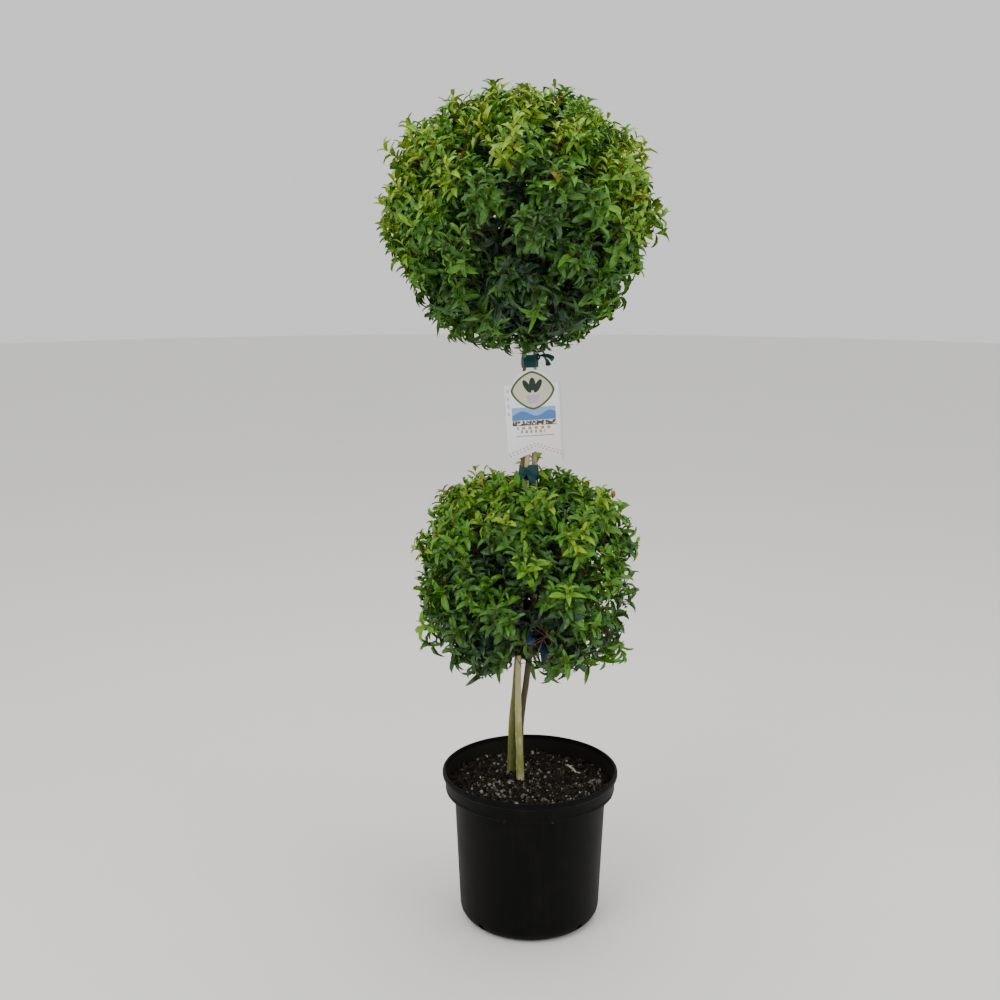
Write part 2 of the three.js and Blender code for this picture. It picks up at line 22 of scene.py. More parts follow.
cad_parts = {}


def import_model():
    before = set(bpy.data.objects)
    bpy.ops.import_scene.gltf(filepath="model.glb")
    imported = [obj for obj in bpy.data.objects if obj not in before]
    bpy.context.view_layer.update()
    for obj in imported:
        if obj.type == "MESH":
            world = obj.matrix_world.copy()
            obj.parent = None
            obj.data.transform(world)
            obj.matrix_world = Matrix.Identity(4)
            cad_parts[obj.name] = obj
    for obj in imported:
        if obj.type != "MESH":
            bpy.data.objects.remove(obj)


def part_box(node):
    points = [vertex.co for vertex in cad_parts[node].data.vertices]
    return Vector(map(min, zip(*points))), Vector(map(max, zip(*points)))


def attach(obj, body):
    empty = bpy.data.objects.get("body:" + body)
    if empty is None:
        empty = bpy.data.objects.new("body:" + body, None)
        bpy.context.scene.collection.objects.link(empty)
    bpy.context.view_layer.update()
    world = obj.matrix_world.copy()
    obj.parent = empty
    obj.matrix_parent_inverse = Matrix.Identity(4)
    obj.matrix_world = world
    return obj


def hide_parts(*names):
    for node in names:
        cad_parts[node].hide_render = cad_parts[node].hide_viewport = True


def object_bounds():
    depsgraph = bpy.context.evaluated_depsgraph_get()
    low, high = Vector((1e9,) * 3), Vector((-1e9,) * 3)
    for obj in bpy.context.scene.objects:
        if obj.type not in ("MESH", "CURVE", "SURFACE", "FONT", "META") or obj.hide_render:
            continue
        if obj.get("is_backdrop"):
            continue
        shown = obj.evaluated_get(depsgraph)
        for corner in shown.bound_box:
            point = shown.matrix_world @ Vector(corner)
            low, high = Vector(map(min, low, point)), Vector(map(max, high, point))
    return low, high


LOG = logging.getLogger("topiary")
SOFT_SHARE = 0.027
SOFT_ROOM = 0.008
UP = Vector((0.0, 0.0, 1.0))
EYE = (-0.061, -2.5, 1.408)
Colour = tuple[float, float, float]
Point = tuple[float, float, float]
Pair = tuple[float, float]
Face = tuple[int, ...]
Piece = bpy.types.Object
Socket = bpy.types.NodeSocket
Paint = bpy.types.Material


# Small helpers


def mix(low: float, high: float, share: float) -> float:
    """Return the value that lies a share of the way from low to high."""
    return low + (high - low) * share


def smoothstep(value: float, low: float, high: float) -> float:
    """Return 0 below low and 1 above high, with a smooth rise between."""
    share = min(1.0, max(0.0, (value - low) / (high - low)))
    return share * share * (3.0 - 2.0 * share)


def bezier(controls: Sequence[Vector], t: float) -> Vector:
    """Return the point at t on the Bezier curve with these control points.

    Args:
        controls: The curve's control points.
        t: The share of the curve, 0 to 1.

    Returns:
        The point.
    """
    points = list(controls)
    while len(points) > 1:
        points = [a.lerp(b, t) for a, b in zip(points, points[1:])]
    return points[0]


def square_to(direction: Vector) -> tuple[Vector, Vector]:
    """Return two directions square to a given one and to each other."""
    across = direction.cross(Vector((1.0, 0.0, 0.0)) if abs(direction.z) > 0.9 else UP).normalized()
    return across, direction.cross(across)


def aside(across: Vector, other: Vector, angle: float) -> Vector:
    """Return the direction at an angle from one direction towards another, square to it."""
    return across * cos(angle) + other * sin(angle)


def level_way(angle: float) -> Vector:
    """Return the level direction at an angle from +X."""
    return Vector((cos(angle), sin(angle), 0.0))


def level_ring(radius: float, z: float, sides: int) -> list[Point]:
    """Return the points of a level ring round the Z axis."""
    angles = [tau * side / sides for side in range(sides)]
    return [(radius * cos(angle), radius * sin(angle), z) for angle in angles]


class SeededRandom:
    """The plant's own random numbers, the same in every run and in the part's source."""

    def __init__(self, seed: int) -> None:
        """Start the row of numbers at a seed."""
        self.state = seed

    def __call__(self) -> float:
        """Return the next number, from 0 up to 1."""
        self.state = (self.state * 1664525 + 1013904223) % 2**32
        return self.state / 2**32

    def between(self, low: float, high: float) -> float:
        """Return the next number, from low up to high."""
        return mix(low, high, self())

    def shake(self) -> Vector:
        """Return three next numbers, each from -0.5 up to 0.5."""
        return Vector([self() - 0.5 for _ in range(3)])


def in_scene(name: str, data: Any) -> Piece:
    """Make an object from its data, such as a mesh, and put it in the scene.

    Args:
        name: The object's name.
        data: Its mesh, light or camera.

    Returns:
        The new object.
    """
    made = bpy.data.objects.new(name, data)
    bpy.context.scene.collection.objects.link(made)
    return made


def mesh_object(
    name: str,
    points: Iterable[Sequence[float]],
    faces: Iterable[Sequence[int]] = (),
    edges: Iterable[Sequence[int]] = (),
) -> Piece:
    """Make an object from points, faces and edges, and put it in the scene.

    Args:
        name: The piece's plain name.
        points: The mesh's points, in metres.
        faces: Each face as the numbers of its points.
        edges: Each loose edge as the numbers of its points.

    Returns:
        The new object, which stands at the origin.
    """
    mesh = bpy.data.meshes.new(name)
    mesh.from_pydata([tuple(p) for p in points], list(edges), [tuple(f) for f in faces])
    mesh.update()
    return in_scene(name, mesh)


def add_attribute(made: Piece, name: str, kind: str, domain: str, values: Sequence[Any]) -> None:
    """Give a piece's mesh a named attribute."""
    attribute = made.data.attributes.new(name, kind, domain)
    attribute.data.foreach_set("vector" if kind == "FLOAT_VECTOR" else "value", values)


def settled(made: Piece, modifier: bpy.types.Modifier) -> bpy.types.Mesh:
    """Return a piece's mesh as its modifier leaves it, and take the modifier off.

    Args:
        made: The piece.
        modifier: Its one modifier.

    Returns:
        A new plain mesh.
    """
    evaluated = made.evaluated_get(bpy.context.evaluated_depsgraph_get())
    mesh = bpy.data.meshes.new_from_object(evaluated)
    made.modifiers.remove(modifier)
    return mesh


def loft_faces(rings: int, sides: int, first: int = 0) -> list[Face]:
    """Return the faces of a closed tube of rings, with a flat cap at each end.

    Args:
        rings: How many rings there are.
        sides: How many points a ring has.
        first: The number of the first ring's first point.

    Returns:
        The faces, each as the numbers of its points.
    """
    faces: list[Face] = []
    for start in range(first, first + (rings - 1) * sides, sides):
        for side in range(sides):
            a, b = start + side, start + (side + 1) % sides
            faces.append((a, b, b + sides, a + sides))
    last = first + (rings - 1) * sides
    faces.append(tuple(reversed(range(first, first + sides))))
    faces.append(tuple(range(last, last + sides)))
    return faces


def face_outwards(made: Piece) -> None:
    """Turn the faces of a closed mesh outwards, after its doubles are merged.

    Args:
        made: The piece whose mesh is changed.
    """
    work = bmesh.new()
    work.from_mesh(made.data)
    bmesh.ops.remove_doubles(work, verts=work.verts, dist=1e-6)
    bmesh.ops.recalc_face_normals(work, faces=work.faces)
    work.to_mesh(made.data)
    work.free()


def shade_smooth(made: Piece, angle: float) -> None:
    """Shade a mesh smoothly, apart from edges that are sharper than the angle in degrees."""
    made.data.polygons.foreach_set("use_smooth", [True] * len(made.data.polygons))
    made.data.set_sharp_from_angle(angle=radians(angle))


def hand_over(
    made: Piece,
    nodes: Iterable[str] = (),
    paint: Paint | None = None,
    smooth: float | None = None,
) -> None:
    """Dress a piece, give it to the frame and report it.

    Args:
        made: The piece.
        nodes: The solids that it stands for.
        paint: Its material, if it has none yet.
        smooth: The angle in degrees up to which its edges are smooth, if it isn't shaded yet.
    """
    if smooth is not None:
        shade_smooth(made, smooth)
    if paint is not None:
        made.data.materials.append(paint)
    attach(made, "root")
    nodes = list(nodes)
    if nodes:
        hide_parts(*nodes)
    LOG.info("%s: %d faces", made.name, len(made.data.polygons))


# Material maths


class NodeTree:
    """A node tree that is built in code, with one method that makes any node in it."""

    def __init__(self, tree: bpy.types.NodeTree) -> None:
        """Keep the tree that the nodes go into."""
        self.tree = tree

    def node(
        self, kind: str, settings: dict[str, Any] | None = None, inputs: dict[Any, Any] | None = None
    ) -> Any:
        """Make a node.

        Args:
            kind: The node's type.
            settings: Its properties, set first.
            inputs: Values or links for its sockets, by number or by the name of the one in use.

        Returns:
            The new node.
        """
        made = self.tree.nodes.new(kind)
        for name, value in (settings or {}).items():
            setattr(made, name, value)
        for key, value in (inputs or {}).items():
            socket = made.inputs[key] if isinstance(key, int) else self.in_use(made.inputs, key)
            if isinstance(value, Val):
                value = value.socket
            if isinstance(value, Socket):
                self.tree.links.new(value, socket)
            elif isinstance(value, tuple) and socket.type == "RGBA":
                socket.default_value = (*value, 1.0)
            else:
                socket.default_value = value
        return made

    @staticmethod
    def in_use(sockets: Iterable[Socket], name: str) -> Socket:
        """Return the socket of this name that is in use."""
        return next(each for each in sockets if each.name == name and each.enabled)

    def maths(self, operation: str, *terms: Any) -> Socket:
        """Return the result of a maths node on numbers or sockets."""
        return self.node("ShaderNodeMath", {"operation": operation}, dict(enumerate(terms))).outputs[0]


class Shader(NodeTree):
    """One material's node tree."""

    def __init__(self, name: str) -> None:
        """Start an empty material.

        Args:
            name: The material's name.
        """
        self.material = bpy.data.materials.new(name)
        self.material.use_nodes = True
        super().__init__(self.material.node_tree)
        self.tree.nodes.clear()

    def place(self) -> Socket:
        """Return the piece's own Object coordinates."""
        return self.node("ShaderNodeTexCoord").outputs["Object"]

    def stretched(self, scale: Point) -> Socket:
        """Return Object coordinates stretched by a scale on each axis."""
        return self.node("ShaderNodeMapping", {}, {"Vector": self.place(), "Scale": scale}).outputs[0]

    def axis(self, which: int, source: Socket | None = None) -> "Val":
        """Return one coordinate, 0 to 2, of a vector, or of the Object coordinates."""
        split = self.node("ShaderNodeSeparateXYZ", {}, {0: source or self.place()})
        return Val(self, split.outputs[which])

    def noise(self, scale: float, detail: float = 3.0, where: Socket | None = None) -> "Val":
        """Return fractal noise from 0 to 1 at a scale, in Object coordinates unless others are given."""
        inputs = {"Vector": where or self.place(), "Scale": scale, "Detail": detail, "Roughness": 0.55}
        return Val(self, self.node("ShaderNodeTexNoise", {}, inputs).outputs[0])

    def cells(self, scale: float, where: Socket | None = None) -> "Val":
        """Return the distance to the nearest of a field of scattered points."""
        inputs = {"Vector": where or self.place(), "Scale": scale}
        return Val(self, self.node("ShaderNodeTexVoronoi", {}, inputs).outputs["Distance"])

    def blend(self, factor: "Val | float", first: Any, second: Any) -> Socket:
        """Mix two colours, given as links or plain colours."""
        mixer = self.node("ShaderNodeMix", {"data_type": "RGBA"}, {0: factor, 6: first, 7: second})
        return mixer.outputs[2]

    def bump(self, height: "Val", strength: float, distance: float) -> Socket:
        """Return the normal of a surface raised by a height."""
        inputs = {"Height": height, "Strength": strength, "Distance": distance}
        return self.node("ShaderNodeBump", {}, inputs).outputs[0]

    def finish(self, **inputs: Any) -> Paint:
        """Close the material with a Principled shader.

        Args:
            inputs: The shader's sockets, with underscores for spaces.

        Returns:
            The finished material.
        """
        named = {name.replace("_", " "): value for name, value in inputs.items()}
        shader = self.node("ShaderNodeBsdfPrincipled", {}, named)
        self.node("ShaderNodeOutputMaterial", {}, {"Surface": shader.outputs[0]})
        return self.material


class Val:
    """A value in a material, so that shader maths reads as a plain expression."""

    def __init__(self, shader: Shader, socket: Socket) -> None:
        """Wrap a value socket of a shader's tree."""
        self.shader = shader
        self.socket = socket

    def _maths(self, operation: str, *terms: Any) -> "Val":
        """Return the result of a maths node on some terms."""
        return Val(self.shader, self.shader.maths(operation, *terms))

    def __add__(self, other: Any) -> "Val":
        """Return the sum."""
        return self._maths("ADD", self, other)

    __radd__ = __add__

    def __sub__(self, other: Any) -> "Val":
        """Return the difference."""
        return self._maths("SUBTRACT", self, other)

    def __rsub__(self, other: Any) -> "Val":
        """Return the difference from a plain number."""
        return self._maths("SUBTRACT", other, self)

    def __mul__(self, other: Any) -> "Val":
        """Return the product."""
        return self._maths("MULTIPLY", self, other)

    __rmul__ = __mul__

    def __truediv__(self, other: Any) -> "Val":
        """Return the quotient."""
        return self._maths("DIVIDE", self, other)

    def __abs__(self) -> "Val":
        """Return the size without its sign."""
        return self._maths("ABSOLUTE", self)

    def root(self) -> "Val":
        """Return the square root."""
        return self._maths("SQRT", self)

    def least(self, other: Any) -> "Val":
        """Return the lesser of two values."""
        return self._maths("MINIMUM", self, other)

    def sine(self) -> "Val":
        """Return the sine."""
        return self._maths("SINE", self)

    def power(self, exponent: float) -> "Val":
        """Return the value raised to a power."""
        return self._maths("POWER", self, exponent)

    def rise(self, low: float, high: float) -> "Val":
        """Return 0 below low and 1 above high, or the other way round where low is the greater.

        Args:
            low: Where the rise starts.
            high: Where it ends.

        Returns:
            A value from 0 to 1.
        """
        settings = {"interpolation_type": "SMOOTHSTEP"}
        inputs = {0: self, 1: low, 2: high, 3: 0.0, 4: 1.0}
        if low > high:
            inputs = {0: self, 1: high, 2: low, 3: 1.0, 4: 0.0}
        return Val(self.shader, self.shader.node("ShaderNodeMapRange", settings, inputs).outputs[0])


# Finishes


@dataclass(frozen=True)
class PotPlastic:
    """Satin black moulded plastic with fine scuffs, a little dust of the potting mix and a painted highlight.
    """

    black: Colour = (0.0021, 0.002, 0.002)
    worn: Colour = (0.0048, 0.0046, 0.0043)
    # The colour of the painted highlight, a thin light line round the lip
    painted_highlight: Colour = (0.014, 0.0135, 0.013)
    dust: Colour = (0.034, 0.028, 0.021)
    inner_wall_tone: Colour = (0.0125, 0.0105, 0.008)
    inner_radius: float = 0.1715
    foot_height: float = 0.05
    painted_highlight_height: float = 0.3028
    mix_level: float = 0.28

    def material(self) -> Paint:
        """Make the material.

        Returns:
            The material.
        """
        s = Shader("pot_plastic")
        streaks = s.noise(1.0, 4.0, s.stretched((70.0, 70.0, 5.0)))
        patches = s.noise(16.0, 5.0)
        height = s.axis(2)
        grime = patches.rise(0.5, 0.78) * (0.35 * height.rise(self.foot_height, 0.0) + 0.1)
        colour = s.blend(streaks.rise(0.45, 0.75) * 0.7, self.black, self.worn)
        colour = s.blend(grime.least(1.0), colour, self.dust)
        east, north = s.axis(0), s.axis(1)
        inside = (east * east + north * north).root().rise(self.inner_radius, self.inner_radius - 0.001)
        # The inner wall above the mix is given a lighter, browner tone
        colour = s.blend(inside * height.rise(self.mix_level - 0.004, self.mix_level), colour, self.inner_wall_tone)
        # A painted highlight: a thin, patchy light line round the lip's tier, where its edge would catch the
        # light
        painted_highlight = abs(height - self.painted_highlight_height).rise(0.0016, 0.0006)
        colour = s.blend(painted_highlight * patches.rise(0.4, 0.6), colour, self.painted_highlight)
        rough = 0.42 + 0.14 * patches + 0.08 * streaks + 0.3 * grime
        grain = 0.5 * s.noise(900.0, 2.0) + 0.5 * streaks
        normal = s.bump(grain, 0.14, 0.0006)
        return s.finish(Base_Color=colour, Roughness=rough, Specular_IOR_Level=0.07, Normal=normal)


@dataclass(frozen=True)
class MixFinish:
    """Damp bark and peat: nearly black, with browner and drier crumbs."""

    name: str
    dark: Colour
    brown: Colour
    grain: float = 420.0
    roughness: float = 0.85

    def material(self) -> Paint:
        """Make the material.

        Returns:
            The material.
        """
        s = Shader(self.name)
        lumps = s.noise(self.grain, 5.0)
        patches = s.noise(self.grain / 9.0, 3.0)
        colour = s.blend((0.6 * lumps + 0.5 * patches).rise(0.42, 0.72), self.dark, self.brown)
        rough = self.roughness + 0.12 * (lumps - 0.5)
        normal = s.bump(lumps, 0.6, 0.0012)
        return s.finish(Base_Color=colour, Roughness=rough, Specular_IOR_Level=0.16, Normal=normal)


@dataclass(frozen=True)
class BarkFinish:
    """Bark that goes from green with algae at the foot to a clean colour above."""

    name: str
    clean: Colour
    streak: Colour
    algae: Colour
    young: Colour
    algae_top: float = 0.56
    young_foot: float = 1.06

    def material(self) -> Paint:
        """Make the material.

        Returns:
            The material.
        """
        s = Shader(self.name)
        height = s.axis(2)
        fibres = s.noise(1.0, 5.0, s.stretched((420.0, 420.0, 42.0)))
        blotches = s.noise(1.0, 4.0, s.stretched((90.0, 90.0, 26.0)))
        specks = s.cells(1.0, s.stretched((520.0, 520.0, 260.0)))
        green = (height + 0.16 * (blotches - 0.5)).rise(self.algae_top, 0.33)
        red = (height + 0.1 * (blotches - 0.5)).rise(self.young_foot, self.young_foot + 0.12)
        colour = s.blend(0.75 * fibres.rise(0.42, 0.72), self.clean, self.streak)
        colour = s.blend(0.8 * red, colour, self.young)
        colour = s.blend(green * blotches.rise(0.3, 0.56), colour, self.algae)
        colour = s.blend(0.6 * blotches.rise(0.6, 0.7), colour, self.streak)
        relief = 0.6 * fibres + 0.3 * blotches + 0.2 * specks
        return s.finish(Base_Color=colour, Roughness=0.62 + 0.25 * fibres, Normal=s.bump(relief, 0.5, 0.0012))


@dataclass(frozen=True)
class TwigFinish:
    """Smooth young bark, reddish brown with paler stretches."""

    red: Colour = (0.13, 0.045, 0.022)
    tan: Colour = (0.27, 0.19, 0.09)

    def material(self) -> Paint:
        """Make the material.

        Returns:
            The material.
        """
        s = Shader("twig_bark")
        patches = s.noise(24.0, 3.0)
        colour = s.blend(patches.rise(0.44, 0.68), self.red, self.tan)
        rough = 0.5 + 0.2 * patches
        return s.finish(Base_Color=colour, Roughness=rough, Normal=s.bump(s.noise(500.0), 0.3, 0.0004))


@dataclass(frozen=True)
class LeafFinish:
    """The plain colours of one shade of leaf: its glossy face, its duller underside and its rib."""

    face: Colour
    under: Colour
    rib: Colour
    gloss: float = 0.36

    def materials(self, name: str) -> list[Paint]:
        """Make the three materials of this shade, for the face, the underside and the rib.

        Args:
            name: The shade's name.

        Returns:
            The three materials, in that order.
        """
        made = []
        looks = ((self.face, self.gloss, 0.36), (self.under, 0.6, 0.25), (self.rib, 0.5, 0.3))
        for part, (colour, rough, shine) in zip(("face", "under", "rib"), looks):
            s = Shader(f"leaf_{name}_{part}")
            made.append(s.finish(Base_Color=colour, Roughness=rough, Specular_IOR_Level=shine))
        return made


class LeafShade(Enum):
    """The shades dealt to the shoots, from young growth and painted light to old leaves and painted shade."""

    BRONZE = LeafFinish((0.24, 0.14, 0.013), (0.28, 0.19, 0.03), (0.36, 0.24, 0.06))
    LIME = LeafFinish((0.22, 0.37, 0.012), (0.3, 0.42, 0.05), (0.42, 0.52, 0.09))
    YOUNG = LeafFinish((0.115, 0.275, 0.007), (0.19, 0.34, 0.036), (0.3, 0.44, 0.07))
    BRIGHT = LeafFinish((0.06, 0.2, 0.007), (0.12, 0.25, 0.028), (0.21, 0.35, 0.056))
    MIDDLE = LeafFinish((0.032, 0.122, 0.008), (0.078, 0.17, 0.025), (0.14, 0.24, 0.045))
    # The deep and bluish shades stand partly for old leaves and partly for painted shade inside and under the
    # balls
    DEEP = LeafFinish((0.025, 0.08, 0.012), (0.056, 0.108, 0.024), (0.1, 0.16, 0.038))
    BLUISH = LeafFinish((0.019, 0.052, 0.026), (0.042, 0.076, 0.036), (0.07, 0.11, 0.048))


@dataclass(frozen=True)
class TapeFinish:
    """Soft stretched tape with a satin sheen and pale stretch marks."""

    name: str
    deep: Colour
    pale: Colour

    def material(self) -> Paint:
        """Make the material.

        Returns:
            The material.
        """
        s = Shader(self.name)
        marks = s.noise(1.0, 3.0, s.stretched((260.0, 260.0, 900.0)))
        patches = s.noise(60.0, 3.0)
        colour = s.blend(0.6 * marks.rise(0.45, 0.8) + 0.3 * patches, self.deep, self.pale)
        rough = 0.36 + 0.2 * patches
        normal = s.bump(marks, 0.35, 0.0005)
        return s.finish(Base_Color=colour, Roughness=rough, Specular_IOR_Level=0.22, Normal=normal)


@dataclass(frozen=True)
class TagPrint:
    """Coated card printed with plain shapes, laid out in the card's own UV map in metres.

    U runs to the right from the middle of the card's width, and V up from its shoulders.
    """

    card: Colour = (0.86, 0.9, 0.9)
    warm: Colour = (0.86, 0.77, 0.75)
    cream: Colour = (0.6, 0.6, 0.44)
    olive: Colour = (0.06, 0.085, 0.022)
    leaf: Colour = (0.008, 0.024, 0.014)
    blue: Colour = (0.07, 0.19, 0.46)
    pale_blue: Colour = (0.24, 0.42, 0.68)
    brown: Colour = (0.075, 0.042, 0.036)
    ochre: Colour = (0.42, 0.29, 0.13)
    grey: Colour = (0.12, 0.12, 0.14)
    lilac: Colour = (0.5, 0.4, 0.6)
    diamond: tuple[float, float, float, float] = (0.0, -0.012, 0.042, 0.037)
    hills: Pair = (-0.069, -0.044)

    def material(self) -> Paint:
        """Make the material.

        Returns:
            The material.
        """
        s = Shader("tag_print")
        where = s.node("ShaderNodeUVMap", {"uv_map": "print"}).outputs[0]
        u = s.axis(0, where)
        v = s.axis(1, where)
        wear = s.noise(90.0, 4.0)
        colour = s.blend(0.8 * (v - u).rise(-0.07, -0.13) + 0.2 * wear.rise(0.5, 0.7), self.card, self.warm)
        for mask, ink in self._shapes(u, v, s.noise(210.0, 2.0)):
            colour = s.blend(mask, colour, ink)
        normal = s.bump(s.noise(40.0), 0.12, 0.001)
        return s.finish(Base_Color=colour, Roughness=0.24 + 0.2 * wear, Normal=normal)

    def back(self) -> Paint:
        """Make the card's plain back.

        Returns:
            The material.
        """
        s = Shader("tag_back")
        wear = s.noise(90.0, 4.0)
        colour = s.blend(wear.rise(0.4, 0.7), self.card, self.warm)
        return s.finish(Base_Color=colour, Roughness=0.4 + 0.2 * wear)

    def _shapes(self, u: Val, v: Val, rough: Val) -> list[tuple[Val, Colour]]:
        """Return the printed shapes in the order of printing, each a mask and its ink.

        Args:
            u: The place across the card.
            v: The place up the card.
            rough: Noise that roughens marks.

        Returns:
            Each shape's mask and ink.
        """
        x, y, across, along = self.diamond
        low, high = self.hills
        # A rounded diamond: its measure is one on its edge
        diamond = (abs(u - x) / across).power(1.5) + (abs(v - y) / along).power(1.5)
        land = self._band(v, low, high) * abs(u).rise(0.0425, 0.0415)
        crest = v + 0.005 * (u * 120.0 + 1.0).sine()
        blotches = self._band(v, low - 0.0105, low - 0.0008) * rough.rise(0.4, 0.46)
        shapes = [
            (land, self.pale_blue),
            (land * crest.rise(low + 0.014, low + 0.012), self.blue),
            (blotches * abs(u).rise(0.0425, 0.0415), self.brown),
            (diamond.rise(1.03, 0.98), self.olive),
            (diamond.rise(0.87, 0.83), self.cream),
        ]
        for side, lean in ((-1.0, 0.45), (1.0, 0.45), (0.0, 0.0)):
            slant = u - x - side * (0.0095 + lean * (v - y - 0.006))
            place = v - y - 0.008 - 0.004 * (1.0 - abs(side))
            leaf = ((slant / 0.0062) * (slant / 0.0062) + (place / 0.0125) * (place / 0.0125)).root()
            shapes.append((leaf.rise(1.06, 0.94), self.leaf))
        bowl = abs(u - x) - 0.3 * (v - y)
        shapes.append((bowl.rise(0.0165, 0.0158) * self._band(v, y - 0.025, y - 0.009), self.lilac))
        for row, (height, reach, fine) in enumerate(((-0.084, 0.034, 520.0), (-0.091, 0.026, 700.0))):
            marks = ((u * fine).sine() + 1.6 * (rough - 0.5)).rise(-0.1, 0.1)
            row_band = self._band(v, height - 0.0028, height + 0.0028)
            shapes.append((marks * row_band * abs(u + 0.006 * row).rise(reach, reach - 0.001), self.ochre))
        shapes.append((self._band(v, -0.1, -0.0988) * abs(u).rise(0.036, 0.0355), self.brown))
        # Small marks along the slanting lower edges and down the left side
        edge = v + 0.146 - 0.374 * (0.0535 - abs(u))
        for height in (0.006, 0.0115):
            marks = ((u * 900.0 + height * 300.0).sine() + 1.5 * (rough - 0.5)).rise(0.0, 0.2)
            shapes.append((0.75 * marks * self._band(edge, height - 0.001, height + 0.001), self.grey))
        marks = ((v * 420.0).sine() + 1.5 * (rough - 0.5)).rise(0.1, 0.3) * self._band(v, -0.06, -0.008)
        shapes.append((0.5 * marks * self._band(u, -0.0495, -0.046), self.grey))
        shapes.append((0.7 * u.rise(0.0475, 0.0535), self.lilac))
        return shapes

    @staticmethod
    def _band(place: Val, low: float, high: float, edge: float = 0.0005) -> Val:
        """Return a band between two levels, with soft edges."""
        return place.rise(low - edge, low + edge) * place.rise(high + edge, high - edge)


@dataclass(frozen=True)
class PlainMineral:
    """Chalky white or grey grains, or dry splinters of wood."""

    name: str
    pale: Colour
    stained: Colour
    scale: float = 130.0

    def material(self) -> Paint:
        """Make the material.

        Returns:
            The material.
        """
        s = Shader(self.name)
        stains = s.noise(self.scale, 3.0)
        colour = s.blend(stains.rise(0.42, 0.66), self.pale, self.stained)
        rough = 0.8 + 0.1 * stains
        return s.finish(Base_Color=colour, Roughness=rough, Normal=s.bump(s.noise(900.0), 0.5, 0.0005))


@dataclass(frozen=True)
class FloorFinish:
    """A plain pale studio floor."""

    pale: Colour = (0.86, 0.85, 0.83)
    shade: Colour = (0.82, 0.81, 0.795)

    def material(self) -> Paint:
        """Make the material.

        Returns:
            The material.
        """
        s = Shader("studio_floor")
        clouds = s.noise(1.3)
        return s.finish(Base_Color=s.blend(clouds, self.pale, self.shade), Roughness=0.7 + 0.1 * clouds)


# Geometry nodes


class GeometryTree(NodeTree):
    """A geometry node tree with named inputs."""

    def __init__(self, name: str) -> None:
        """Start a tree that takes and gives geometry.

        Args:
            name: The tree's name.
        """
        super().__init__(bpy.data.node_groups.new(name, "GeometryNodeTree"))
        self.identifiers: dict[str, str] = {}
        self.inside = self.tree.nodes.new("NodeGroupInput")
        self.outside = self.tree.nodes.new("NodeGroupOutput")
        self.tree.interface.new_socket("Geometry", in_out="OUTPUT", socket_type="NodeSocketGeometry")
        self.geometry = self.input("Geometry", "Geometry")

    def input(self, name: str, kind: str) -> Socket:
        """Add a named input and return its socket inside the tree.

        Args:
            name: The input's name.
            kind: Its kind, such as Float.

        Returns:
            The socket.
        """
        made = self.tree.interface.new_socket(name, in_out="INPUT", socket_type=f"NodeSocket{kind}")
        self.identifiers[name] = made.identifier
        return self.inside.outputs[name]

    def attribute(self, name: str, kind: str) -> Socket:
        """Return the socket of a named attribute."""
        made = self.node("GeometryNodeInputNamedAttribute", {"data_type": kind}, {"Name": name})
        return self.in_use(made.outputs, "Attribute")

    def random(self, kind: str, low: Any, high: Any, seed: Any) -> Socket:
        """Return a random value for each point."""
        values = {"Min": low, "Max": high, "Seed": seed}
        return self.in_use(self.node("FunctionNodeRandomValue", {"data_type": kind}, values).outputs, "Value")

    def instances(self, points: Socket, pattern: Socket, turn: Socket, size: Socket) -> Socket:
        """Set a pattern object on points.

        Args:
            points: The points.
            pattern: The object.
            turn: Its turn at each point.
            size: Its size at each point.

        Returns:
            The socket of the instances.
        """
        info = self.node("GeometryNodeObjectInfo", {}, {"Object": pattern})
        inputs = {"Points": points, "Instance": info.outputs["Geometry"], "Rotation": turn, "Scale": size}
        return self.node("GeometryNodeInstanceOnPoints", {}, inputs).outputs[0]

    def finish(self, shown: Socket, *dressings: dict[str, Socket]) -> None:
        """End the tree in real geometry with its materials set.

        Args:
            shown: The geometry.
            dressings: Each material with the faces that it covers.
        """
        shown = self.node("GeometryNodeRealizeInstances", {}, {"Geometry": shown}).outputs[0]
        for dressing in dressings:
            inputs = {"Geometry": shown, **dressing}
            shown = self.node("GeometryNodeSetMaterial", {}, inputs).outputs[0]
        self.tree.links.new(shown, self.outside.inputs[0])

    def run(self, name: str, carrier: Piece, values: dict[str, Any]) -> Piece:
        """Run the tree on an object and keep the result as a plain mesh.

        Args:
            name: The finished piece's name.
            carrier: The object that the tree runs on, which is used up.
            values: The tree's named inputs.

        Returns:
            The new piece, which stands at the origin.
        """
        modifier = carrier.modifiers.new(self.tree.name, "NODES")
        modifier.node_group = self.tree
        for key, value in values.items():
            modifier[self.identifiers[key]] = value
        mesh = settled(carrier, modifier)
        mesh.name = name
        bpy.data.objects.remove(carrier)
        return in_scene(name, mesh)


def leaf_tree() -> GeometryTree:
    """Make the tree that sets a leaf on every point, turned and sized by the point's attributes.

    Returns:
        The tree, with the inputs Blade, Face, Under and Rib.
    """
    g = GeometryTree("leaves_on_points")
    blade = g.input("Blade", "Object")
    paints = [g.input(name, "Material") for name in ("Face", "Under", "Rib")]
    turn, size = g.attribute("turn", "QUATERNION"), g.attribute("size", "FLOAT_VECTOR")
    placed = g.instances(g.geometry, blade, turn, size)
    side = g.attribute("side", "INT")
    dressings = []
    for number, paint in enumerate(paints):
        settings = {"data_type": "INT", "operation": "EQUAL"}
        same = g.node("FunctionNodeCompare", settings, {"A": side, "B": number})
        dressings.append({"Selection": same.outputs[0], "Material": paint})
    g.finish(placed, *dressings)
    return g


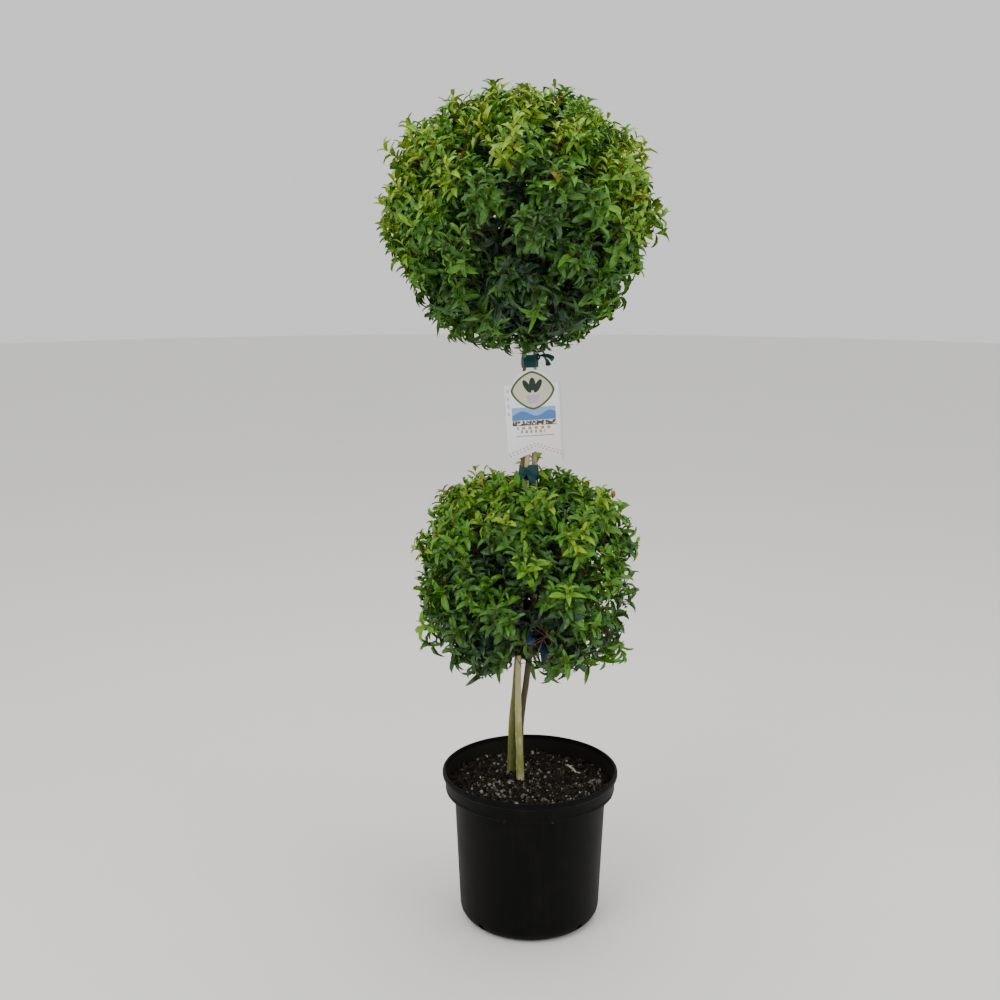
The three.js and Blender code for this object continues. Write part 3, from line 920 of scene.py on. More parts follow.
def limb_tree() -> GeometryTree:
    """Make the tree that turns lines with a radius at each point into tapering twigs.

    Returns:
        The tree, with the inputs Sides and Bark.
    """
    g = GeometryTree("twigs_on_lines")
    sides, bark = g.input("Sides", "Int"), g.input("Bark", "Material")
    lines = g.node("GeometryNodeMeshToCurve", {}, {"Mesh": g.geometry})
    ring = g.node("GeometryNodeCurvePrimitiveCircle", {}, {"Resolution": sides, "Radius": 1.0})
    inputs = {
        "Curve": lines.outputs[0],
        "Profile Curve": ring.outputs[0],
        "Scale": g.attribute("radius", "FLOAT"),
        "Fill Caps": True,
    }
    g.finish(g.node("GeometryNodeCurveToMesh", {}, inputs).outputs[0], {"Material": bark})
    return g


def scatter_tree() -> GeometryTree:
    """Make the tree that strews grains over the top of a surface, each turned at random.

    Returns:
        The tree, with inputs for the grain, how thickly it lies, its sizes and its paint.
    """
    g = GeometryTree("grains_on_surface")
    grain, seed, paint = g.input("Grain", "Object"), g.input("Seed", "Int"), g.input("Paint", "Material")
    numbers = [g.input(name, "Float") for name in ("Density", "Gathered", "Smallest", "Largest")]
    density, gathered, smallest, largest = numbers
    crowd = g.maths("MULTIPLY_ADD", gathered, g.maths("SUBTRACT", g.attribute("crowd", "FLOAT"), 1.0), 1.0)
    inputs = {
        "Mesh": g.geometry,
        "Selection": g.attribute("open_top", "BOOLEAN"),
        "Density": g.maths("MULTIPLY", density, crowd),
        "Seed": seed,
    }
    points = g.node("GeometryNodeDistributePointsOnFaces", {}, inputs).outputs["Points"]
    spin = g.random("FLOAT_VECTOR", (0.0, 0.0, 0.0), (tau, tau, tau), seed)
    turned = g.node("FunctionNodeEulerToRotation", {}, {"Euler": spin}).outputs[0]
    small = g.maths("POWER", g.random("FLOAT", 0.0, 1.0, 7), 1.7)
    inputs = {"Value": small, "To Min": smallest, "To Max": largest}
    size = g.node("ShaderNodeMapRange", {}, inputs).outputs["Result"]
    g.finish(g.instances(points, grain, turned, size), {"Material": paint})
    return g


# The pot


def rounded(corners: Sequence[Point], steps: int) -> list[Pair]:
    """Return an outline with its corners rounded.

    Args:
        corners: Each corner's two coordinates and the radius of its rounding.
        steps: How many straight edges make one rounding.

    Returns:
        The outline's points, in order.
    """
    outline: list[Pair] = []
    for i, (x, y, radius) in enumerate(corners):
        here = Vector((x, y))
        if radius == 0.0 or i in (0, len(corners) - 1):
            outline.append((x, y))
            continue
        to_last = (Vector(corners[i - 1][:2]) - here).normalized()
        to_next = (Vector(corners[i + 1][:2]) - here).normalized()
        half = to_last.angle(to_next) / 2.0
        middle = here + (to_last + to_next).normalized() * (radius / sin(half))
        start = here + to_last * (radius / tan(half)) - middle
        end = here + to_next * (radius / tan(half)) - middle
        sweep = start.angle_signed(end)
        for step in range(steps + 1):
            angle = -sweep * step / steps
            turned = Matrix.Rotation(angle, 2) @ start
            outline.append(tuple(middle + turned))
    return outline


@dataclass
class NurseryPot:
    """The moulded pot: a thin tapering wall, a lip in two tiers and drain holes round its foot."""

    height: float = 0.315
    rim_radius: float = 0.178
    rim_roll: float = 0.0062
    tier_height: float = 0.302
    tier_radius: float = 0.1752
    shoulder_height: float = 0.273
    shoulder_radius: float = 0.171
    body_top_radius: float = 0.154
    foot_corner_radius: float = 0.1422
    foot_rounding: float = 0.026
    wall: float = 0.003
    segments: int = 144
    drain_count: int = 4
    drain_radius: float = 0.009
    drain_height: float = 0.015
    drain_place: float = 0.135
    drain_tilt: float = 58.0
    finish: PotPlastic = field(default_factory=PotPlastic)

    def profile(self) -> list[Pair]:
        """Return the wall's outline, from the middle of the underside round to the inner floor.

        Returns:
            The outline's points, each a radius and a height.
        """
        wall = self.wall
        corners = [
            (0.0, 0.0, 0.0),
            (self.foot_corner_radius, 0.0, self.foot_rounding),
            (self.body_top_radius, self.shoulder_height, 0.002),
            (self.shoulder_radius, self.shoulder_height, 0.0012),
            (self.shoulder_radius + 0.0012, self.shoulder_height + 0.005, 0.002),
            (self.shoulder_radius + 0.0002, self.shoulder_height + 0.008, 0.002),
            (self.tier_radius, self.tier_height, 0.0015),
            (self.rim_radius, self.tier_height + 0.003, 0.003),
            (self.rim_radius, self.height, 0.0038),
            (self.rim_radius - self.rim_roll, self.height, 0.0018),
            (self.shoulder_radius - wall, self.shoulder_height + wall, 0.002),
            (self.body_top_radius - wall, self.shoulder_height + wall, 0.0012),
            (self.foot_corner_radius - wall, wall, self.foot_rounding - wall),
            (0.0, wall, 0.0),
        ]
        return rounded(corners, 5)

    def build(self) -> None:
        """Build and dress the pot."""
        profile = self.profile()[1:-1]
        points = [point for r, z in profile for point in level_ring(r, z, self.segments)]
        made = mesh_object("nursery_pot", points, loft_faces(len(profile), self.segments))
        face_outwards(made)
        self._drill(made)
        hand_over(made, ["pot"], self.finish.material(), 38.0)

    def _drill(self, made: Piece) -> None:
        """Cut the drain holes through the rounded foot.

        Args:
            made: The pot, whose mesh is changed.
        """
        work = bmesh.new()
        for i in range(self.drain_count):
            turn = Matrix.Rotation(tau * (i + 0.5) / self.drain_count, 4, "Z")
            place = Matrix.Translation((self.drain_place, 0.0, self.drain_height))
            # A cylinder lies along Z, and the drills lean out from it about Y
            lean = Matrix.Rotation(radians(90.0 - self.drain_tilt + 90.0), 4, "Y")
            bmesh.ops.create_cone(
                work,
                cap_ends=True,
                segments=24,
                radius1=self.drain_radius,
                radius2=self.drain_radius,
                depth=0.04,
                matrix=turn @ place @ lean,
            )
        mesh = bpy.data.meshes.new("drills")
        work.to_mesh(mesh)
        work.free()
        drills = in_scene("drills", mesh)
        cut = made.modifiers.new("drain_holes", "BOOLEAN")
        cut.object = drills
        cut.operation = "DIFFERENCE"
        cut.solver = "EXACT"
        made.data = settled(made, cut)
        bpy.data.objects.remove(drills)


# The stems


class StemLine:
    """A smooth centripetal line through a stem's points, the same as in the part's source."""

    def __init__(self, points: Sequence[Point]) -> None:
        """Keep the points, with one more beyond each end.

        Args:
            points: The points, from the foot to the tip.
        """
        inner = [Vector(p) for p in points]
        first = 2.0 * inner[0] - inner[1]
        last = 2.0 * inner[-1] - inner[-2]
        self.points = [first, *inner, last]
        self.spans = len(inner) - 1

    def point(self, t: float) -> Vector:
        """Return the point at t, from 0 at the foot to 1 at the tip.

        Args:
            t: The share of the line.

        Returns:
            The point.
        """
        place = min(max(t, 0.0), 1.0) * self.spans
        span = min(int(place), self.spans - 1)
        t = place - span
        p0, p1, p2, p3 = self.points[span : span + 4]
        d0, d1, d2 = ((b - a).length ** 0.5 for a, b in ((p0, p1), (p1, p2), (p2, p3)))
        start = ((p1 - p0) / d0 - (p2 - p0) / (d0 + d1) + (p2 - p1) / d1) * d1
        end = ((p2 - p1) / d1 - (p3 - p1) / (d1 + d2) + (p3 - p2) / d2) * d1
        square = -3.0 * p1 + 3.0 * p2 - 2.0 * start - end
        cube = 2.0 * p1 - 2.0 * p2 + start + end
        return p1 + t * start + t * t * square + t * t * t * cube

    def share_at(self, height: float) -> float:
        """Return how far along the line a height is reached.

        Args:
            height: The height above the ground.

        Returns:
            The share of the line, 0 to 1.
        """
        low, high = 0.0, 1.0
        for _ in range(24):
            middle = (low + high) / 2.0
            if self.point(middle).z < height:
                low = middle
            else:
                high = middle
        return low


@dataclass
class Stem:
    """One stem, from its flared foot in the potting mix to its tip inside the upper ball."""

    name: str
    slot: str
    points: Sequence[Point]
    foot: float
    waist: float
    tip: float
    finish: BarkFinish
    waist_at: float = 0.3
    flare: float = 0.08
    flare_height: float = 0.03
    sunk: float = 0.005
    sides: int = 24
    ring_step: float = 0.0038
    joint_gap: float = 0.062
    seed: float = 0.0

    def __post_init__(self) -> None:
        """Draw the stem's line through its points."""
        self.line = StemLine(self.points)

    def radius(self, t: float) -> float:
        """Return the plain radius at a share of the stem's length.

        Args:
            t: The share of the stem's length.

        Returns:
            The radius in metres.
        """
        low = mix(self.foot, self.waist, t / self.waist_at)
        high = mix(self.waist, self.tip, (t - self.waist_at) / (1.0 - self.waist_at))
        plain = low if t < self.waist_at else high
        return plain * (1.0 + self.flare * exp(-t / self.flare_height))

    def at(self, height: float) -> tuple[Vector, float]:
        """Return the stem's middle and radius at a height."""
        t = self.line.share_at(height)
        return self.line.point(t), self.radius(t)

    def clearance(self, point: Vector) -> float:
        """Return how far a point lies from the stem's surface.

        Args:
            point: The point.

        Returns:
            The distance, below zero inside the stem.
        """
        top = self.line.point(1.0)
        if point.z > top.z:
            return (point - top).length - self.tip
        middle, radius = self.at(point.z)
        return hypot(point.x - middle.x, point.y - middle.y) - radius

    def relief(self, angle: float, height: float, t: float) -> float:
        """Return the bark's relief as a factor on the radius.

        Args:
            angle: The direction round the stem.
            height: The height above the ground.
            t: The share of the stem's length.

        Returns:
            A factor near 1.
        """
        around = level_way(angle)
        ridges = noise.noise(around * 2.3 + Vector((self.seed, 0.0, height * 9.0)))
        fissures = abs(noise.noise(around * 5.5 + Vector((0.0, self.seed, height * 42.0))))
        lumps = noise.noise(Vector((self.seed, 3.0, height * 26.0)))
        along = (height + 0.012 * noise.noise(Vector((self.seed, height * 7.0, 0.0)))) / self.joint_gap
        joint = exp(-(((along - round(along)) * self.joint_gap / 0.0045) ** 2))
        side = 0.5 + 0.5 * cos(2.0 * angle + 1.7 * round(along) + self.seed)
        lobes = exp(-t / 0.04) * 0.06 * cos(3.0 * angle + self.seed)
        return 1.0 + 0.045 * ridges - 0.05 * fissures + 0.025 * lumps + 0.075 * joint * side + lobes

    def build(self) -> None:
        """Build and dress the stem."""
        foot, tip = self.line.point(0.0).z, self.line.point(1.0).z
        count = int((tip - foot) / self.ring_step)
        points = []
        for ring in range(-1, count + 1):
            t = max(ring, 0) / count
            middle = self.line.point(t) - Vector((0.0, 0.0, self.sunk if ring < 0 else 0.0))
            for side in range(self.sides):
                angle = tau * side / self.sides
                reach = self.radius(t) * self.relief(angle, middle.z, t)
                x, y = middle.x + reach * cos(angle), middle.y + reach * sin(angle)
                points.append((x, y, middle.z))
        made = mesh_object(f"{self.name}_bark", points, loft_faces(count + 2, self.sides))
        hand_over(made, [self.name], self.finish.material(), 60.0)


@dataclass
class Stems:
    """The three stems, which cross below the lower ball and run side by side above it."""

    soil_level: float = 0.28
    gap: float = 0.0003

    def __post_init__(self) -> None:
        """Set out the stems."""
        start = self.soil_level + self.gap
        self.front = Stem(
            "front_stem",
            "light_bark",
            (
                (-0.019, 0.026, start), (-0.024, 0.009, 0.45), (-0.022, -0.001, 0.62),
                (-0.009, -0.005, 0.93), (-0.005, -0.004, 1.165), (-0.013, -0.013, 1.346),
            ),
            foot=0.0076, waist=0.0058, tip=0.0036,
            finish=BarkFinish(
                "light_bark",
                clean=(0.56, 0.49, 0.29), streak=(0.36, 0.31, 0.15), algae=(0.235, 0.265, 0.05),
                young=(0.25, 0.13, 0.06), young_foot=0.9,
            ),
            seed=1.3,
        )
        self.back = Stem(
            "back_stem",
            "dark_bark",
            (
                (-0.037, 0.066, start), (-0.036, 0.043, 0.4), (-0.03, 0.03, 0.48), (-0.022, 0.021, 0.64),
                (-0.017, 0.008, 0.93), (-0.014, 0.005, 1.165), (-0.021, 0.0, 1.484),
            ),
            foot=0.0084, waist=0.006, tip=0.003,
            finish=BarkFinish(
                "olive_bark",
                clean=(0.22, 0.19, 0.08), streak=(0.06, 0.045, 0.016), algae=(0.14, 0.17, 0.022),
                young=(0.19, 0.08, 0.04), algae_top=0.62,
            ),
            seed=4.1,
        )
        self.side = Stem(
            "side_stem",
            "dark_bark",
            (
                (-0.019, 0.05, start), (-0.018, 0.033, 0.4), (-0.007, 0.021, 0.5), (0.002, 0.017, 0.59),
                (0.01, 0.011, 0.78), (0.006, 0.003, 0.93), (0.005, 0.002, 1.165), (0.013, 0.008, 1.35),
            ),
            foot=0.0064, waist=0.0066, tip=0.004,
            finish=BarkFinish(
                "brown_bark",
                clean=(0.085, 0.065, 0.028), streak=(0.035, 0.026, 0.012), algae=(0.08, 0.075, 0.022),
                young=(0.4, 0.32, 0.19), young_foot=0.54,
            ),
            seed=7.7,
        )

    @property
    def all(self) -> tuple[Stem, ...]:
        """Return all the stems."""
        return self.front, self.back, self.side

    def standing(self, height: float) -> list[Stem]:
        """Return the stems that are still there at a height."""
        return [stem for stem in self.all if stem.line.point(1.0).z > height]

    def outermost(self, height: float, direction: Vector) -> Stem:
        """Return the stem that stands farthest out in a direction at a height."""
        return max(self.standing(height), key=lambda stem: stem.at(height)[0].xy.dot(direction.xy))

    def clearance(self, point: Vector) -> float:
        """Return how far a point lies from the nearest stem's surface."""
        return min(stem.clearance(point) for stem in self.all)

    def middle(self, height: float) -> Vector:
        """Return the middle of the room that the stems take up at a height.

        Args:
            height: The height above the ground.

        Returns:
            The middle.
        """
        places = [stem.at(height)[0] for stem in self.standing(height)]
        xs, ys = [p.x for p in places], [p.y for p in places]
        return Vector(((min(xs) + max(xs)) / 2.0, (min(ys) + max(ys)) / 2.0, height))

    def build(self) -> None:
        """Build all the stems."""
        for stem in self.all:
            stem.build()


# The potting mix


@dataclass(frozen=True)
class Grains:
    """One kind of grain that is strewn over the potting mix."""

    name: str
    density: float
    smallest: float
    largest: float
    squash: Point
    roughness: float
    seed: int
    finish: MixFinish | PlainMineral
    fineness: int = 1
    gathered: float = 0.0

    def grain(self) -> Piece:
        """Make one grain of unit size: a rough pebble or flake.

        Returns:
            The grain.
        """
        work = bmesh.new()
        bmesh.ops.create_icosphere(work, subdivisions=self.fineness, radius=0.5)
        for vertex in work.verts:
            bump = noise.noise(vertex.co * 3.1 + Vector((self.seed, 0.0, 0.0)))
            vertex.co *= 1.0 + self.roughness * bump
            vertex.co = Vector((a * b for a, b in zip(vertex.co, self.squash)))
        mesh = bpy.data.meshes.new(f"{self.name}_grain")
        work.to_mesh(mesh)
        work.free()
        return in_scene(mesh.name, mesh)


@dataclass
class PottingMix:
    """The bark and peat that fills the pot, with white and grey grains strewn over it.

    Each heap of pale grains is the two coordinates of its middle, its reach and how thick it lies.
    The splinter is its place, its length and its turn.
    """

    pot: NurseryPot
    foot: Pair = (-0.027, 0.039)
    level: float = 0.28
    mound: float = 0.001
    relief: float = 0.0025
    flat_radius: float = 0.062
    ledge: float = 0.2763
    brim_radius: float = 0.1674
    rings: int = 62
    segments: int = 190
    splinter: tuple[float, float, float, float] = (0.09, 0.072, 0.078, -1.02)
    sparse: float = 0.35
    heaps: tuple[tuple[float, float, float, float], ...] = (
        (-0.027, 0.039, 0.06, 0.9), (-0.06, -0.07, 0.07, 1.6), (0.03, -0.04, 0.08, 1.0),
    )
    grains: tuple[Grains, ...] = (
        Grains(
            "mix_crumbs", 17000.0, 0.004, 0.017, (1.0, 0.8, 0.6), 1.0, 3,
            MixFinish("crumb_mix", (0.002, 0.0016, 0.0011), (0.028, 0.021, 0.013)),
        ),
        Grains(
            "bark_chips", 4600.0, 0.007, 0.026, (1.0, 0.42, 0.2), 0.7, 11,
            MixFinish("chip_bark", (0.004, 0.003, 0.002), (0.07, 0.05, 0.032), 300.0, 0.62),
        ),
        Grains(
            "white_grains", 1750.0, 0.003, 0.0105, (1.0, 0.75, 0.6), 1.1, 23,
            PlainMineral("white_perlite", (0.3, 0.29, 0.25), (0.1, 0.09, 0.07)), 2, 0.7,
        ),
        Grains(
            "grey_grains", 4800.0, 0.003, 0.012, (1.0, 0.7, 0.5), 0.9, 31,
            PlainMineral("grey_grit", (0.185, 0.17, 0.14), (0.05, 0.043, 0.032)), 1, 0.5,
        ),
        Grains(
            "grey_lumps", 260.0, 0.01, 0.018, (1.0, 0.7, 0.6), 0.8, 47,
            PlainMineral("grey_lump", (0.15, 0.145, 0.125), (0.04, 0.037, 0.03)), 2, 0.9,
        ),
    )

    def height(self, x: float, y: float) -> float:
        """Return the height of the mix at a place, with its clods and crumbs.

        Args:
            x: The place to the right.
            y: The place to the back.

        Returns:
            The height.
        """
        r = hypot(x, y)
        from_stems = hypot(x - self.foot[0], y - self.foot[1])
        share = smoothstep(from_stems, self.flat_radius, 2.0 * self.flat_radius)
        bumps = sin(x / 0.019 + 1.0) * cos(y / 0.023) + 0.6 * sin(x / 0.009 - y / 0.011)
        plain = self.level - share * self.mound * (r / self.pot.body_top_radius) + share * self.relief * bumps
        clods = noise.noise(Vector((x * 70.0, y * 70.0, 4.0)))
        crumbs = noise.noise(Vector((x * 230.0, y * 230.0, 9.0)))
        return plain + 0.003 * clods + 0.0022 * crumbs - 0.0022

    def crowd(self, x: float, y: float) -> float:
        """Return how thickly the pale grains lie at a place: closest by the stems and on the near side."""
        heaps = [share * exp(-((hypot(x - u, y - v) / reach) ** 2)) for u, v, reach, share in self.heaps]
        return sum(heaps, self.sparse)

    def build(self) -> None:
        """Build the mix and what is strewn over it."""
        surface = self._surface()
        tree = scatter_tree()
        for grains in self.grains:
            grain = grains.grain()
            carrier = in_scene("mix_carrier", surface.data.copy())
            values = {
                "Grain": grain,
                "Density": grains.density,
                "Gathered": grains.gathered,
                "Seed": grains.seed,
                "Smallest": grains.smallest,
                "Largest": grains.largest,
                "Paint": grains.finish.material(),
            }
            made = tree.run(grains.name, carrier, values)
            bpy.data.objects.remove(grain)
            hand_over(made)
        finish = MixFinish("dark_mix", (0.0028, 0.002, 0.0015), (0.014, 0.0095, 0.006))
        hand_over(surface, ["potting_mix"], finish.material())
        self._splinter()

    def _surface(self) -> Piece:
        """Build the closed body of the mix, with the open part of its top marked.

        Returns:
            The body, undressed.
        """
        pot = self.pot
        inner = pot.body_top_radius - pot.wall - 0.0005
        low = pot.foot_corner_radius - pot.wall - 0.0005
        levels = [(low - 0.02, pot.wall + 0.0003), (low, 0.03), (inner, self.ledge)]
        levels.append((self.brim_radius, self.ledge))
        points = [point for radius, z in levels for point in level_ring(radius, z, self.segments)]
        for step in range(self.rings + 1):
            radius = self.brim_radius * (1.0 - step / (self.rings + 0.5))
            for x, y, _ in level_ring(radius, 0.0, self.segments):
                points.append((x, y, max(self.height(x, y), self.ledge + 0.0002)))
        count = len(levels) + self.rings + 1
        made = mesh_object("potting_mix_top", points, loft_faces(count, self.segments))
        mesh = made.data
        tops = [face.normal.z > 0.3 and face.center.z > self.ledge - 0.001 for face in mesh.polygons]
        add_attribute(made, "open_top", "BOOLEAN", "FACE", tops)
        crowds = [self.crowd(vertex.co.x, vertex.co.y) for vertex in mesh.vertices]
        add_attribute(made, "crowd", "FLOAT", "POINT", crowds)
        shade_smooth(made, 70.0)
        return made

    def _splinter(self) -> None:
        """Build the long pale splinter of wood that lies on the mix, to the right of the stems."""
        x, y, length, turn = self.splinter
        steps, sides = 12, 6
        points = []
        for step in range(steps + 1):
            t = step / steps
            reach = 0.003 * sin(pi * (0.12 + 0.8 * t)) ** 0.7
            along = (t - 0.5) * length
            bend = 0.0018 * sin(3.0 * t)
            px, py = x + along * cos(turn) - bend * sin(turn), y + along * sin(turn)
            base = self.height(px, py) + 0.0022
            for side in range(sides):
                angle = tau * side / sides
                rough = 1.0 + 0.35 * noise.noise(Vector((t * 6.0, side * 2.0, 1.0)))
                off = reach * rough * cos(angle)
                up = 0.55 * reach * rough * sin(angle)
                points.append((px - off * sin(turn), py + off * cos(turn), base + up))
        made = mesh_object("pale_splinter", points, loft_faces(steps + 1, sides))
        face_outwards(made)
        finish = PlainMineral("dry_wood", (0.5, 0.46, 0.38), (0.2, 0.16, 0.12), 120.0)
        hand_over(made, (), finish.material())


# The foliage


@dataclass(frozen=True)
class BallForm:
    """The clipped surface of a ball: a slightly square round form, other above than below.

    Above and below each hold a height, a squareness and how far the width is pinched in.
    """

    centre: Point
    width: float
    above: Point
    below: Point

    def radius(self, direction: Vector) -> float:
        """Return the surface's distance from the centre in a direction.

        Args:
            direction: The direction, of length 1.

        Returns:
            The distance.
        """
        height, squareness, pinch = self.above if direction.z > 0.0 else self.below
        across = hypot(direction.x, direction.y) / (self.width * (1.0 - pinch * abs(direction.z)))
        along = abs(direction.z) / height
        return (across**squareness + along**squareness) ** (-1.0 / squareness)

    def at(self, direction: Vector, share: float) -> Vector:
        """Return the point at a share of the way from the centre to the surface."""
        return Vector(self.centre) + direction * (share * self.radius(direction))

    def share(self, point: Vector) -> float:
        """Return how far out a point lies, 1 at the surface."""
        offset = point - Vector(self.centre)
        return offset.length / self.radius(offset.normalized())


@dataclass(frozen=True)
class BoughRing:
    """One ring of boughs: how many, their rise above the level, and where they leave the stems."""

    count: int
    rise: float
    turn: float
    springs: Pair | None = None


@dataclass
class Bough:
    """One bough: where it points, its control points and the node that it stands for."""

    number: int
    direction: Vector
    controls: list[Vector] | None
    tip: Vector
    along: Vector


@dataclass(frozen=True)
class LimbSizes:
    """The sizes of boughs and twigs, from thick to thin."""

    bough_base: float = 0.004
    bough_tip: float = 0.0028
    bough_reach: float = 0.42
    bough_lift: float = 0.5
    head: float = 0.6
    fork: float = 0.7
    mains: int = 5
    spread: float = 0.3
    spray_reach: float = 0.82
    spray_uneven: float = 0.08
    main_radius: float = 0.0021
    twig_radius: float = 0.0014
    shoot_radius: float = 0.00085
    tip_radius: float = 0.0005
    jitter: float = 0.1
    detour: float = 0.04
    twig_bend: float = 0.03
    under_spread: float = 0.36


@dataclass(frozen=True)
class ShootRule:
    """How the finer shoots of a spray grow and bear their leaves."""

    count: int = 19
    inner: int = 10
    reach: Pair = (0.98, 0.84)
    uneven: float = 0.1
    inner_reach: Pair = (0.45, 0.82)
    patch: float = 1.05
    turn: float = 2.399963
    turn_shake: float = 0.5
    lift: Pair = (-1.3, 1.9)
    shake: float = 0.6
    pairs: int = 4
    spacing: float = 0.0105
    splay: Pair = (0.4, 1.2)
    clip: float = 1.06
    fringe: float = 0.13
    fringe_reach: Pair = (0.72, 0.99)
    fringe_thin: float = 1.6
    hanging: Pair = (0.35, 0.95)
    ragged: float = 0.08
    stray: float = 0.045
    stray_reach: Pair = (0.04, 0.1)
    bronze_tips: float = 0.07
    pocket: float = 0.7
    pocket_open: float = 0.6


@dataclass(frozen=True)
class LeafSizes:
    """The sizes of one leaf and how its blade is folded and bent back."""

    length: Pair = (0.026, 0.041)
    width_share: Pair = (0.25, 0.38)
    curl: Pair = (0.25, 1.0)
    stations: tuple[float, ...] = (0.18, 0.48, 0.79)
    rib_share: float = 0.08
    thickness: float = 0.012
    bend: float = 1.55
    fold: float = 0.36

    def half_width(self, t: float) -> float:
        """Return half the blade's width at a share of its length, for a blade one wide."""
        return 0.5 * sin(pi * t**0.9) ** 0.62 * (1.0 - 0.12 * t)

    def arc(self, t: float) -> Pair:
        """Return how far forward and up the blade's middle lies at a share of its length."""
        angle = self.bend * t
        return sin(angle) / self.bend, (cos(angle) - 1.0) / self.bend

    def blade(self) -> Piece:
        """Make one leaf of unit length and width: a closed folded blade with a raised rib.

        Each face carries its side: 0 for the upper face, 1 for the underside and 2 for the rib.

        Returns:
            The blade, with the attribute side on its faces.
        """
        points: list[Point] = [(0.0, 0.0, 0.0)]
        for t in self.stations:
            reach = self.half_width(t)
            rib = self.rib_share * (1.0 - 0.6 * t)
            x, z = self.arc(t)
            lift = self.fold * reach
            points += [
                (x, reach, z + lift),
                (x, rib / 2.0, z),
                (x, -rib / 2.0, z),
                (x, -reach, z + lift),
                (x, 0.0, z - self.thickness),
            ]
        tip = len(points)
        x, z = self.arc(1.0)
        points.append((x, 0.0, z))
        faces: list[Face] = []
        sides: list[int] = []
        # Each strip of faces: the columns of points at its two edges, and its side
        for left, right, side in ((0, 1, 0), (1, 2, 2), (2, 3, 0), (4, 3, 1), (0, 4, 1)):
            faces.append((0, 1 + right, 1 + left))
            for station in range(len(self.stations) - 1):
                a, b = 1 + 5 * station + left, 1 + 5 * station + right
                faces.append((a, b, b + 5, a + 5))
            faces.append((tip - 5 + left, tip - 5 + right, tip))
            sides += [side] * (len(self.stations) + 1)
        made = mesh_object("leaf_blade", points, faces)
        face_outwards(made)
        add_attribute(made, "side", "INT", "FACE", sides)
        shade_smooth(made, 24.0)
        return made


@dataclass
class Shoot:
    """One fine shoot: its control points, its leaves' shade and reach, and whether it hangs."""

    path: list[Vector]
    shade: LeafShade
    limit: float
    hangs: bool


@dataclass
class Leaf:
    """One leaf: its place, its turn, its size on each axis and its shade."""

    place: Vector
    turn: Any
    size: Vector
    shade: LeafShade


